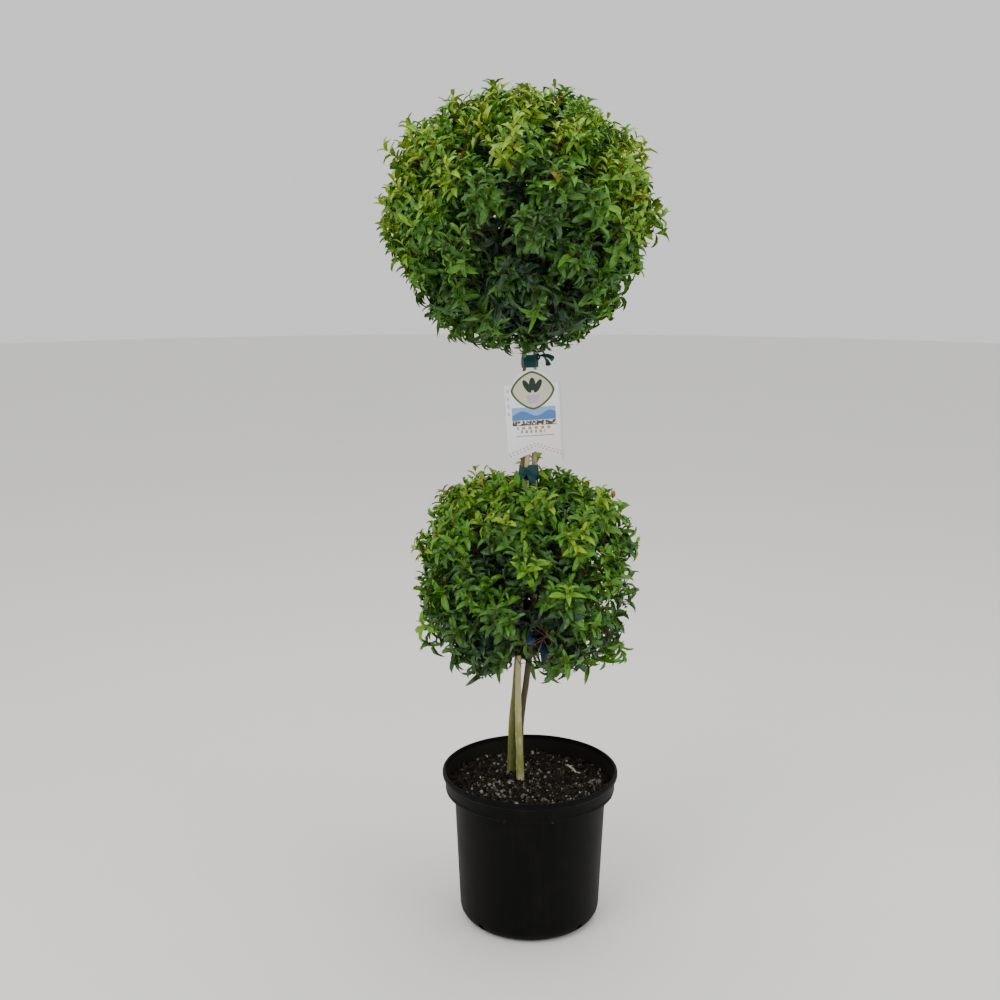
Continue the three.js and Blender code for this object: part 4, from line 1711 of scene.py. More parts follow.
@dataclass
class FoliageBall:
    """One clipped ball of foliage: boughs, twigs, shoots and leaves, grown by a seeded rule.

    Its clear test says whether a point is clear of the stems, the ties and the view of the stems.
    """

    name: str
    clear: Callable[[Vector], bool]
    form: BallForm
    rings: tuple[BoughRing, ...]
    seed: int
    spray_count: int
    openings: tuple[tuple[Point, float, float], ...] = ()
    under_count: int = 8
    ragged_at: float = 0.0
    tuck: float = 0.0
    held_back: Point = (0.055, 0.05, 0.0)
    # The direction of the side that is dealt darker shades, as painted shadow
    painted_shadow_side: Point = (0.12, -0.9, -0.34)
    limbs: LimbSizes = LimbSizes()
    shoots: ShootRule = ShootRule()
    leaf: LeafSizes = LeafSizes()
    young: float = 0.0
    # How much paler the sides are dealt, as painted light, and how much darker the painted shadow side
    side_light: float = 0.3
    shadow: float = 0.25

    def __post_init__(self) -> None:
        """Start the ball's random numbers, twigs and leaves."""
        self.random = SeededRandom(self.seed)
        self.lines: list[tuple[list[Vector], list[float]]] = []
        self.leaves: list[Leaf] = []

    def spray_directions(self) -> list[Vector]:
        """Return evenly spread directions over the ball, as in the part's source.

        Returns:
            The directions, of length 1.
        """
        golden = pi * (3.0 - sqrt(5.0))
        turn = tau * self.random()
        directions = []
        for i in range(self.spray_count):
            z = 1.0 - 2.0 * (i + 0.5) / self.spray_count
            level = sqrt(1.0 - z * z)
            angle = turn + golden * i
            shake = self.random.shake() * self.limbs.jitter
            plain = Vector((level * cos(angle), level * sin(angle), z))
            directions.append((plain + shake).normalized())
        # More sprays hang round the stems, where the ball is entered from below
        for i in range(self.under_count):
            angle = turn + tau * i / self.under_count
            spread = self.limbs.under_spread
            directions.append(Vector((spread * cos(angle), spread * sin(angle), -1.0)).normalized())
        return directions

    def plan_boughs(self, stems: Stems) -> list[Bough]:
        """Set out the boughs, each from its stem's middle to its tip, in the order of their numbers.

        Args:
            stems: The stems that the boughs leave.

        Returns:
            The boughs.
        """
        boughs = []
        for ring in self.rings:
            for i in range(ring.count):
                angle = radians(ring.turn + 360.0 * i / ring.count)
                rise = radians(ring.rise)
                level = cos(rise)
                direction = Vector((level * cos(angle), level * sin(angle), sin(rise)))
                number = len(boughs) + 1
                if ring.springs is None:
                    boughs.append(Bough(number, direction, None, stems.back.line.point(1.0), UP.copy()))
                    continue
                springs = mix(*ring.springs, i / (ring.count - 1))
                start = stems.outermost(springs, direction).at(springs)[0]
                tip = self.form.at(direction, self.limbs.bough_reach)
                bend = start.lerp(tip, 0.5)
                bend.z = mix(bend.z, start.z, self.limbs.bough_lift)
                boughs.append(Bough(number, direction, [start, bend, tip], tip, (tip - bend).normalized()))
        return boughs

    def build_boughs(self, boughs: Sequence[Bough]) -> None:
        """Build all boughs of the ball as tapering limbs with bark relief.

        Args:
            boughs: The boughs, as they are planned.
        """
        sides, rings = 12, 34
        points: list[Point] = []
        faces: list[Face] = []
        for bough in boughs:
            if bough.controls is None:
                continue
            faces += loft_faces(rings + 1, sides, len(points))
            reference = (bough.tip - bough.controls[0]).cross(UP)
            for ring in range(rings + 1):
                t = ring / rings
                middle = bezier(bough.controls, t)
                along = bezier([b - a for a, b in zip(bough.controls, bough.controls[1:])], t).normalized()
                across = (reference - along * reference.dot(along)).normalized()
                other = along.cross(across)
                radius = mix(self.limbs.bough_base, self.limbs.bough_tip, t)
                for side in range(sides):
                    outward = aside(across, other, tau * side / sides)
                    grain = noise.noise(outward * 2.0 + middle * 60.0) + 0.5 * noise.noise(middle * 260.0)
                    points.append(tuple(middle + outward * (radius * (1.0 + 0.09 * grain))))
        made = mesh_object(f"{self.name}_boughs", points, faces)
        face_outwards(made)
        finish = TwigFinish(red=(0.1, 0.05, 0.028), tan=(0.2, 0.15, 0.08))
        nodes = [f"{self.name}_bough_{bough.number}" for bough in boughs if bough.controls]
        hand_over(made, nodes, finish.material(), 60.0)

    def grow_line(self, controls: Sequence[Vector], start: float, end: float, steps: int) -> None:
        """Add a twig along a Bezier curve, tapering from one radius to another."""
        shares = [i / steps for i in range(steps + 1)]
        self.lines.append(([bezier(controls, t) for t in shares], [mix(start, end, t) for t in shares]))

    def grow(self, boughs: Sequence[Bough]) -> None:
        """Grow all twigs, shoots and leaves.

        Args:
            boughs: The boughs that carry the masses.
        """
        sprays = self.spray_directions()
        by_bough: dict[int, list[Vector]] = {bough.number: [] for bough in boughs}
        for direction in sprays:
            nearest = max(boughs, key=lambda bough: bough.direction.dot(direction))
            by_bough[nearest.number].append(direction)
        for bough in boughs:
            self._grow_mass(bough, by_bough[bough.number])

    def _grow_mass(self, bough: Bough, sprays: Sequence[Vector]) -> None:
        """Grow one mass: its stem, its main twigs and a spray in each direction.

        Args:
            bough: The bough that carries the mass.
            sprays: The directions of the mass's sprays.
        """
        sizes, random = self.limbs, self.random
        head = self.form.at(bough.direction, sizes.head)
        handle = 0.35 * (head - bough.tip).length
        throat = [bough.tip, bough.tip + bough.along * handle, head - bough.direction * handle, head]
        self.grow_line(throat, sizes.bough_tip, sizes.main_radius, 7)
        across, other = square_to(bough.direction)
        mains = []
        for i in range(sizes.mains):
            angle = tau * (i + 0.4 * random()) / (sizes.mains - 1)
            spread = 0.0 if i == 0 else sizes.spread + 0.08 * random()
            direction = (bough.direction + spread * aside(across, other, angle)).normalized()
            fork = self.form.at(direction, sizes.fork)
            if not self.clear(fork):
                fork += UP * sizes.detour
            start = bezier(throat, mix(0.35, 1.0, random()) if i else 1.0)
            bend = start.lerp(fork, 0.5) + bough.direction * 0.012
            self.grow_line([start, bend, fork], sizes.main_radius, sizes.twig_radius, 5)
            mains.append((direction, fork))
        for direction in sprays:
            fork = max(mains, key=lambda main: main[0].dot(direction))[1]
            self._grow_spray(fork, direction)

    def _trim(self, direction: Vector) -> float:
        """Return the clipped surface's unevenness in a direction: tufts with hollows between them.

        Args:
            direction: The direction from the ball's centre.

        Returns:
            A share of the radius, above or below zero.
        """
        broad = noise.noise(direction * 5.0 + Vector((self.ragged_at, self.seed, 0.0)))
        fine = noise.noise(direction * 12.0 + Vector((0.0, 0.0, self.seed)))
        tuck = self.tuck * smoothstep(direction.z, -0.3, -0.6) * smoothstep(direction.z, -0.98, -0.75)
        held = sum(back * max(value, 0.0) ** 2 for back, value in zip(self.held_back, direction))
        return self.shoots.ragged * (0.75 * broad + 0.6 * fine) - held - tuck

    def _in_pocket(self, point: Vector) -> bool:
        """Say whether a point lies in one of the pockets of air, which are larger towards the openings.

        Args:
            point: The point.

        Returns:
            True in a pocket.
        """
        offset = point - Vector(self.form.centre)
        open_share = self._thinned(offset.normalized())
        here = noise.noise(Vector((point.x * 36.0, point.y * 24.0, point.z * 36.0 + self.seed)))
        return here > self.shoots.pocket - self.shoots.pocket_open * open_share

    def _thinned(self, direction: Vector) -> float:
        """Return the share of shoots that is missing in a direction, where the sky shows through.

        Args:
            direction: The direction from the ball's centre.

        Returns:
            The share, 0 to 1.
        """
        share = 0.0
        for towards, reach, missing in self.openings:
            share = max(share, missing * smoothstep(direction.dot(Vector(towards).normalized()), reach, 1.0))
        return share

    def _grow_spray(self, fork: Vector, direction: Vector) -> None:
        """Grow one spray: a twig with its shoots, each of which has leaves of one shade.

        Args:
            fork: Where the spray leaves its main twig.
            direction: Its direction from the centre.
        """
        sizes, rule, random = self.limbs, self.shoots, self.random
        tip = self.form.at(direction, sizes.spray_reach + sizes.spray_uneven * random())
        bend = fork.lerp(tip, 0.5) + random.shake() * sizes.twig_bend
        if not self.clear(bend):
            bend += UP * sizes.detour
        twig = [fork, bend, tip]
        before = len(self.lines)
        patch = rule.patch * sqrt(4.0 / self.spray_count)
        across, other = square_to(direction)
        total = rule.count + rule.inner
        for i in range(total):
            angle = rule.turn * i + rule.turn_shake * random()
            outer = i < rule.count
            reach = patch * sqrt((i + 0.5) / total if outer else random())
            aim = (direction + reach * aside(across, other, angle)).normalized()
            share = random.between(*rule.inner_reach)
            limit = rule.clip
            if outer:
                share = mix(*rule.reach, (i + 0.5) / rule.count) + rule.uneven * (random() - 0.5)
                share += self._trim(aim)
                if random() < smoothstep(-aim.z, 0.3, 0.8):
                    share = mix(*rule.fringe_reach, random() ** rule.fringe_thin)
                elif random() < rule.stray:
                    stray = random.between(*rule.stray_reach)
                    share += stray
                    limit += stray
            if random() < self._thinned(aim) * (0.5 if share > 0.9 else 1.0):
                continue
            end = self.form.at(aim, share)
            start = bezier(twig, mix(0.15, 0.95, random()))
            length = (end - start).length
            # A shoot's tip turns up to the light, but under the ball more and more of them hang
            outward = (end - start).normalized()
            shake = random.shake() * rule.shake
            hangs = random() < smoothstep(-aim.z, *rule.hanging)
            upward = (outward + UP * rule.lift[0 if hangs else 1] + shake).normalized()
            path = [start, start + outward * (0.4 * length), end - upward * (0.42 * length), end]
            if not self.clear(end) or not self.clear(path[2]) or self._in_pocket(end):
                continue
            bare = len(self.leaves)
            self._grow_leaves(Shoot(path, self._shade(aim, share, hangs), limit, hangs))
            if len(self.leaves) > bare:
                self.grow_line(path, sizes.shoot_radius, sizes.tip_radius, 3)
        if len(self.lines) > before:
            self.grow_line(twig, sizes.twig_radius, sizes.shoot_radius, 5)

    def _shade(self, direction: Vector, share: float, hangs: bool) -> LeafShade:
        """Deal a shoot its shade: paler outside and above, darker and bluish inside and where it hangs.

        The paler shades stand partly for young growth and partly for painted light, the darker and bluish
        ones partly for older leaves and partly for painted shade.

        Args:
            direction: The shoot's direction from the ball's centre.
            share: How far out it ends, 1 at the surface.
            hangs: Whether it hangs.

        Returns:
            The shade.
        """
        patches = noise.noise(direction * 2.6 + Vector((self.seed, 0.0, 0.0)))
        # Painted shadow: shoots towards the painted shadow side are dealt darker shades
        dark = smoothstep(direction.dot(Vector(self.painted_shadow_side).normalized()), 0.46, 0.94)
        low = smoothstep(-direction.z, 0.5, 0.95)
        # The top is dealt paler shades, partly for young growth and partly as painted light, and the very
        # bottom a little paler, as painted light
        age_and_painted_shade = 0.54 - 0.24 * direction.z - 0.16 * patches + self.shadow * dark - 0.06 * low
        # Shoots that end inside the ball are dealt darker shades, partly for older leaves and partly as
        # painted shade
        age_and_painted_shade += 1.5 * (0.92 - share) + 0.6 * (self.random() - 0.5) - self.young
        # Painted light: the sides are dealt paler shades
        age_and_painted_shade -= self.side_light * direction.x**2
        # Painted shade: hanging shoots under the ball are dealt darker shades
        age_and_painted_shade += 0.12 if hangs else 0.0
        limits = ((0.17, LeafShade.LIME), (0.36, LeafShade.YOUNG), (0.58, LeafShade.BRIGHT))
        limits += ((0.8, LeafShade.MIDDLE), (1.02, LeafShade.DEEP))
        return next((shade for limit, shade in limits if age_and_painted_shade < limit), LeafShade.BLUISH)

    def _grow_leaves(self, shoot: Shoot) -> None:
        """Set opposite pairs of leaves along a shoot, each pair square to the last.

        Args:
            shoot: The shoot that bears the leaves.
        """
        rule, leaf, random = self.shoots, self.leaf, self.random
        path, shade = shoot.path, shoot.shade
        length = sum((bezier(path, t + 0.25) - bezier(path, t)).length for t in (0.0, 0.25, 0.5, 0.75))
        turn = tau * random()
        for pair in range(rule.pairs):
            back = rule.spacing * (pair + 0.12 * random())
            if back > 0.85 * length:
                break
            t = 1.0 - back / length
            root = bezier(path, t)
            along_shoot = (bezier(path, t + 0.02) - bezier(path, t - 0.02)).normalized()
            across, other = square_to(along_shoot)
            splay = mix(*rule.splay, (pair + random()) / rule.pairs) * (0.6 if shoot.hangs else 1.0)
            size = random.between(*leaf.length) * (0.7 if pair == 0 else 1.0)
            tinted = pair == 0 and shade in (LeafShade.LIME, LeafShade.YOUNG) and random() < rule.bronze_tips
            dealt = LeafShade.BRONZE if tinted else shade
            for side in (0.0, pi):
                angle = turn + side + pi / 2.0 * pair + 0.35 * (random() - 0.5)
                along = aside(along_shoot, aside(across, other, angle), splay)
                self._add_leaf((root, along, along_shoot), size, dealt, shoot.limit)

    def _add_leaf(
        self, stance: tuple[Vector, Vector, Vector], length: float, shade: LeafShade, limit: float
    ) -> None:
        """Add one leaf, if it keeps within its shoot's limit and clear of the stems.

        Args:
            stance: The leaf's root, the way that it points and the way of its shoot.
            length: The blade's length.
            shade: The leaf's shade.
            limit: How far out the shoot may reach, 1 at the ball's surface.
        """
        root, along, shoot = stance
        leaf, random = self.leaf, self.random
        outward = (root - Vector(self.form.centre)).normalized()
        # Leaves under the ball hang: they are longer, narrower and bent further back
        hang = smoothstep(-outward.z, 0.35, 0.85)
        curl = random.between(*leaf.curl) + 0.5 * hang
        length *= 1.0 + 0.15 * hang
        facing = shoot + 0.5 * UP + (0.2 + 0.6 * hang) * outward
        facing = (facing - along * facing.dot(along)).normalized()
        side = facing.cross(along)
        forward, down = leaf.arc(1.0)
        # A flatter leaf reaches farther, so that all keep their length along the blade
        stretch = 1.0 / mix(forward, 1.0, min(curl, 1.0))
        reach = (along * forward + facing * (down * curl)) * stretch
        clip = limit + self._trim(outward) + self.shoots.fringe * hang
        if self.form.share(root + reach * length) > clip:
            length *= 0.75
        tip = root + reach * length
        if self.form.share(tip) > clip or not self.clear(tip) or not self.clear(root.lerp(tip, 0.5)):
            return
        width = length * random.between(*leaf.width_share) * (1.0 - 0.2 * hang)
        turn = Matrix((along, side, facing)).transposed().to_quaternion()
        size = Vector((length * stretch, width, length * stretch * curl))
        self.leaves.append(Leaf(root, turn, size, shade))

    def build_twigs(self, tree: GeometryTree, bark: Paint, nodes: Sequence[str]) -> None:
        """Build all twigs and shoots as one piece.

        Args:
            tree: The tree that makes twigs from lines.
            bark: Their material.
            nodes: The solids that the twigs stand for.
        """
        points: list[Vector] = []
        radii: list[float] = []
        edges: list[tuple[int, int]] = []
        for line, widths in self.lines:
            start = len(points)
            points += line
            radii += widths
            edges += [(start + i, start + i + 1) for i in range(len(line) - 1)]
        name = f"{self.name}_twigs"
        carrier = mesh_object(name, points, (), edges)
        add_attribute(carrier, "radius", "FLOAT", "POINT", radii)
        made = tree.run(name, carrier, {"Sides": 3, "Bark": bark})
        hand_over(made, nodes, smooth=80.0)

    def build_leaves(
        self, tree: GeometryTree, blade: Piece, paints: dict[LeafShade, list[Paint]], nodes: Sequence[str]
    ) -> None:
        """Build the leaves, one piece for each shade.

        Args:
            tree: The tree that sets leaves on points.
            blade: The leaf that it sets.
            paints: The three materials of each shade.
            nodes: The solids that the leaves stand for.
        """
        for shade in LeafShade:
            chosen = [leaf for leaf in self.leaves if leaf.shade is shade]
            if not chosen:
                continue
            name = f"{self.name}_leaves_{shade.name.lower()}"
            carrier = mesh_object(name, [leaf.place for leaf in chosen])
            turns = [value for leaf in chosen for value in leaf.turn]
            sizes = [value for leaf in chosen for value in leaf.size]
            add_attribute(carrier, "turn", "QUATERNION", "POINT", turns)
            add_attribute(carrier, "size", "FLOAT_VECTOR", "POINT", sizes)
            face, under, rib = paints[shade]
            made = tree.run(name, carrier, {"Blade": blade, "Face": face, "Under": under, "Rib": rib})
            hand_over(made, nodes)


# The ties and the tag


# A place on a ribbon's middle, its outward direction, the direction of its width, and its width
RibbonStep = tuple[Vector, Vector, Vector, float]


@dataclass
class TieTape:
    """A tie of soft tape: a few turns round the stems, a knot and two tails.

    Each tail is its swing to the side, its drop and its length.
    """

    name: str
    height: float
    knot_angle: float
    finish: TapeFinish
    width: float = 0.03
    ribbon: float = 0.016
    thickness: float = 0.0011
    turns: float = 3.4
    knot: float = 0.0064
    tails: tuple[Point, ...] = ((0.35, 0.1, 0.03), (-0.3, -0.9, 0.03))
    knot_rise: float = 0.0
    twist: float = 1.1
    tail_width: float = 0.85
    held: tuple[Point, ...] = ()
    room: float = 0.009
    knot_reach: float = 0.018
    outline_steps: int = 72
    knot_steps: int = 44
    tail_steps: int = 18
    section: tuple[Pair, ...] = (
        (-0.5, 0.0), (-0.44, 0.5), (0.0, 0.62), (0.44, 0.5), (0.5, 0.0), (0.44, -0.5), (-0.44, -0.5),
    )

    def clear(self, point: Vector, stems: Stems) -> bool:
        """Say whether a point is clear of the tape and its knot.

        Args:
            point: The point.
            stems: The stems that are tied.

        Returns:
            True if it is clear.
        """
        if abs(point.z - self.height) > 0.6 * self.width:
            return True
        knot = stems.middle(self.height) + level_way(radians(self.knot_angle)) * self.knot_reach
        return stems.clearance(point) > self.room and (point - knot).xy.length > 2.0 * self.knot

    def outline(self, stems: Stems) -> list[tuple[Vector, Vector]]:
        """Return the points and outward directions of a line drawn tight round the stems.

        Args:
            stems: The stems that are tied.

        Returns:
            Each point and its outward direction.
        """
        circles = []
        for stem in stems.standing(self.height + self.width / 2.0):
            for level in (-0.5, 0.0, 0.5):
                middle, radius = stem.at(self.height + level * self.width)
                circles.append((middle.x, middle.y, radius + 0.0004))
        circles += list(self.held)
        outline = []
        for i in range(self.outline_steps):
            outward = level_way(tau * i / self.outline_steps)
            x, y, radius = max(circles, key=lambda c: c[0] * outward.x + c[1] * outward.y + c[2])
            outline.append((Vector((x, y, 0.0)) + outward * radius, outward))
        return outline

    def build(self, stems: Stems) -> None:
        """Build and dress the tie.

        Args:
            stems: The stems that are tied.
        """
        outline = self.outline(stems)
        first = round(self.knot_angle / 360.0 * len(outline))
        outward = level_way(radians(self.knot_angle))
        seat = outline[first % len(outline)][0] + outward * (self.thickness * 2.0)
        seat += UP * (self.height + self.knot_rise)
        start = seat + outward * self.knot
        paths = [self._winding(outline, first), self._knot(seat, outward)]
        paths += [self._tail(start, outward, tail) for tail in self.tails]
        points: list[Vector] = []
        faces: list[Face] = []
        for path in paths:
            faces += loft_faces(len(path), len(self.section), len(points))
            points += self._ribbon(path)
        made = mesh_object(f"{self.name}_tape", points, faces)
        face_outwards(made)
        hand_over(made, [self.name], self.finish.material(), 50.0)

    def _ribbon(self, path: Sequence[RibbonStep]) -> list[Vector]:
        """Return the points of a flat ribbon along a path.

        Args:
            path: The ribbon's steps.

        Returns:
            The points, one section for each step.
        """
        points = []
        for i, (place, outward, across, width) in enumerate(path):
            for a, b in self.section:
                ripple = 0.18 * noise.noise(Vector((a * 5.0, i * 0.22, self.height * 50.0)))
                points.append(place + across * (a * width) + outward * ((b + ripple) * self.thickness))
        return points

    def _winding(self, outline: Sequence[tuple[Vector, Vector]], first: int) -> list[RibbonStep]:
        """Return the path of the turns round the stems.

        Args:
            outline: The line drawn tight round the stems.
            first: Where on it the tape starts.

        Returns:
            The path.
        """
        count = len(outline)
        steps = int(self.turns * count)
        path = []
        for i in range(steps + 1):
            point, outward = outline[(first + i) % count]
            turn = i / count
            rise = mix(0.5, -0.5, i / steps) * (self.width - self.ribbon)
            wave = 0.0008 * sin(3.1 * turn * tau + self.height * 90.0)
            layer = self.thickness * (0.6 + 0.45 * turn)
            place = point + outward * layer + UP * (self.height + rise + wave)
            path.append((place, outward, UP, self.ribbon))
        return path

    def _knot(self, seat: Vector, outward: Vector) -> list[RibbonStep]:
        """Return the path of the knot: a short ribbon wound twice round itself.

        Args:
            seat: The knot's middle.
            outward: The way that it faces.

        Returns:
            The path.
        """
        sideways = UP.cross(outward)
        path = []
        for i in range(self.knot_steps + 1):
            angle = 4.2 * pi * i / self.knot_steps
            turn = Matrix.Rotation(0.5 * sin(angle / 2.0), 3, outward)
            round_it = turn @ (outward * cos(angle) * 0.75 + UP * sin(angle))
            reach = self.knot * (0.62 + 0.1 * sin(angle * 1.5))
            place = seat + round_it * reach + sideways * (self.knot * 0.5 * cos(0.5 * angle))
            path.append((place, round_it, turn @ sideways, self.knot * 1.3))
        return path

    def _tail(self, start: Vector, outward: Vector, tail: Point) -> list[RibbonStep]:
        """Return the path of a tail that leaves the knot and droops, with a slanting cut end.

        Args:
            start: Where the tail leaves the knot.
            outward: The way that the knot faces.
            tail: The tail's swing, drop and length.

        Returns:
            The path.
        """
        swing, drop, length = tail
        along = (Matrix.Rotation(swing, 3, "Z") @ outward + UP * 0.35).normalized()
        place = start - outward * (self.knot * 0.9)
        path = []
        steps = self.tail_steps
        for i in range(steps + 1):
            t = i / steps
            side = along.cross(UP).normalized()
            twist = Matrix.Rotation(self.twist * t * copysign(1.0, swing), 3, along)
            across = twist @ side
            width = self.ribbon * self.tail_width * mix(0.85, 1.1, t) * (1.0 if i < steps else 0.55)
            path.append((place.copy(), along.cross(across), across, width))
            place = place + along * (length / steps)
            along = (along + UP * ((drop - 0.9) * 1.9 / steps)).normalized()
        return path


@dataclass
class PlantTag:
    """The card tag: arched at the top, notched at the bottom, hung by a narrow tab under a tie."""

    width: float = 0.107
    shoulder: float = 0.15
    arch: float = 0.028
    arch_radius: float = 0.039
    notch: float = 0.02
    thickness: float = 0.0008
    tilt: float = 3.5
    tab_width: float = 0.015
    tab_height: float = 0.033
    tab_right: float = 0.005
    columns: int = 26
    rows: int = 44
    bow: float = 0.0022
    finish: TagPrint = field(default_factory=TagPrint)

    def _edges(self, x: float) -> Pair:
        """Return the card's lower and upper edge at a distance from its middle.

        Args:
            x: The distance, to the right.

        Returns:
            The two heights over the shoulders.
        """
        low = -self.shoulder + self.notch * (1.0 - abs(x) / (self.width / 2.0))
        high = self.arch - self.arch_radius + sqrt(max(self.arch_radius**2 - x * x, 0.0))
        return low, max(high, 0.0)

    def _columns(self) -> list[float]:
        """Return the card's columns from left to right, closest where the arch is steep.

        Returns:
            The columns' distances from the card's middle.
        """
        half = self.width / 2.0
        spring = acos(1.0 - self.arch / self.arch_radius)
        shares = [2.0 * i / self.columns - 1.0 for i in range(self.columns + 1)]
        inner = [self.arch_radius * sin(spring * share) for share in shares]
        outer = [mix(half, inner[-1], i / 4.0) for i in range(4)]
        return [-x for x in outer] + inner + outer[::-1]

    def _place(self, x: float, y: float, hang: Vector, forward: float) -> Vector:
        """Return where a point of the card stands, bowed a little and turned by its tilt.

        Args:
            x: The point's place across the card.
            y: Its place up the card.
            hang: Where the card hangs.
            forward: How far it stands forward.

        Returns:
            The point.
        """
        turn = Matrix.Rotation(radians(self.tilt), 2)
        low = self.arch + self.tab_height / 2.0
        flat = turn @ Vector((x + self.tab_width / 2.0 - self.tab_right, y - low))
        curl = self.bow * (2.0 * x / self.width) ** 2 * smoothstep(-y, 0.0, 0.05)
        return Vector((hang.x + flat.x, hang.y - forward + curl, hang.z + flat.y))

    def build(self, hang: Vector) -> None:
        """Build and dress the tag.

        Args:
            hang: Where the middle of its tab lies on the front stem's surface.
        """
        places: list[Pair] = []
        columns = self._columns()
        for x in columns:
            low, high = self._edges(x)
            places += [(x, mix(low, high, j / self.rows)) for j in range(self.rows + 1)]
        stride = self.rows + 1
        faces = []
        for i in range(len(columns) - 1):
            for j in range(self.rows):
                a = i * stride + j
                faces.append((a, a + stride, a + stride + 1, a + 1))
        left, right = self.tab_right - self.tab_width, self.tab_right
        tab = len(places)
        bottom = self.arch - 0.004
        for x in (left, right):
            places += [(x, mix(bottom, self.arch + self.tab_height, j / 4.0)) for j in range(5)]
        faces += [(tab + j, tab + 5 + j, tab + 6 + j, tab + 1 + j) for j in range(4)]
        points = [self._place(x, y, hang, self.thickness if i < tab else 0.6 * self.thickness)
                  for i, (x, y) in enumerate(places)]
        made = mesh_object("card_tag", points, faces)
        prints = made.data.uv_layers.new(name="print")
        for loop in made.data.loops:
            prints.data[loop.index].uv = places[loop.vertex_index]
        for paint in (self.finish.material(), self.finish.back()):
            made.data.materials.append(paint)
        solid = made.modifiers.new("thickness", "SOLIDIFY")
        solid.thickness = 0.6 * self.thickness
        solid.offset = -1.0
        solid.material_offset = 1
        made.data = settled(made, solid)
        hand_over(made, ["plant_tag"], smooth=40.0)


# The studio


@dataclass(frozen=True)
class Lamp:
    """One large soft lamp: its name, place, width, power in watts and colour."""

    name: str
    place: Point
    width: float
    power: float
    colour: Colour


@dataclass
class Studio:
    """The pale floor, the soft lights and the camera."""

    floor_radius: float = 14.0
    inner_radius: float = 1.2
    sides: int = 96
    camera_place: Point = EYE
    camera_drop: float = 12.09
    lens: float = 47.196
    sky: Colour = (0.93, 0.925, 0.92)
    sky_strength: float = 1.0
    aim: float = 0.9
    lamps: tuple[Lamp, ...] = (
        Lamp("key", (-1.9, -2.4, 3.5), 2.4, 63.0, (1.0, 0.975, 0.93)),
        Lamp("fill", (2.8, -1.8, 1.6), 2.6, 30.0, (0.98, 0.99, 1.0)),
        Lamp("top", (0.2, 0.3, 3.8), 2.6, 44.0, (1.0, 0.99, 0.96)),
    )

    def build(self) -> None:
        """Build the floor, and set the surround, the lamps and the camera."""
        n = self.sides
        points = level_ring(self.floor_radius, 0.0, n) + level_ring(self.inner_radius, 0.0, n)
        faces: list[Face] = [(i, (i + 1) % n, n + (i + 1) % n, n + i) for i in range(n)]
        faces.append(tuple(range(n, 2 * n)))
        floor = mesh_object("studio_floor", points, faces)
        floor.data.materials.append(FloorFinish().material())
        floor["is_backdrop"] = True
        self._world()
        for lamp in self.lamps:
            self._hang(lamp)
        self._camera()

    def _world(self) -> None:
        """Set an even pale surround."""
        world = bpy.data.worlds.new("studio")
        world.use_nodes = True
        back = world.node_tree.nodes["Background"]
        back.inputs["Color"].default_value = (*self.sky, 1.0)
        back.inputs["Strength"].default_value = self.sky_strength
        bpy.context.scene.world = world

    def _hang(self, lamp: Lamp) -> None:
        """Add a lamp that points at the plant.

        Args:
            lamp: The lamp.
        """
        light = bpy.data.lights.new(lamp.name, "AREA")
        light.shape = "DISK"
        light.size = lamp.width
        light.energy = lamp.power
        light.color = lamp.colour
        made = in_scene(lamp.name, light)
        made.location = lamp.place
        made.rotation_euler = (UP * self.aim - Vector(lamp.place)).to_track_quat("-Z", "Y").to_euler()

    def _camera(self) -> None:
        """Set the camera where the photograph was taken from."""
        camera = in_scene("camera", bpy.data.cameras.new("camera"))
        camera.data.lens = self.lens
        camera.data.sensor_width = 36.0
        camera.data.clip_end = 60.0
        camera.location = self.camera_place
        camera.rotation_euler = (radians(90.0 - self.camera_drop), 0.0, 0.0)
        bpy.context.scene.camera = camera


# The whole plant


@dataclass(frozen=True)
class Window:
    """An opening in the foliage's near side, seen along the camera's line of sight."""

    left: float
    right: float
    low: float
    high: float
    cleared: float = 1.0
    nearest: float = -0.004

    def crosses(self, point: Vector) -> bool:
        """Say whether a point lies in the opening, in front of the stems.

        Args:
            point: The point.

        Returns:
            True in the opening.
        """
        if point.y > self.nearest:
            return False
        reach = -EYE[1] / (point.y - EYE[1])
        x, z = mix(EYE[0], point.x, reach), mix(EYE[2], point.z, reach)
        return self.left < x < self.right and self.low < z < self.high


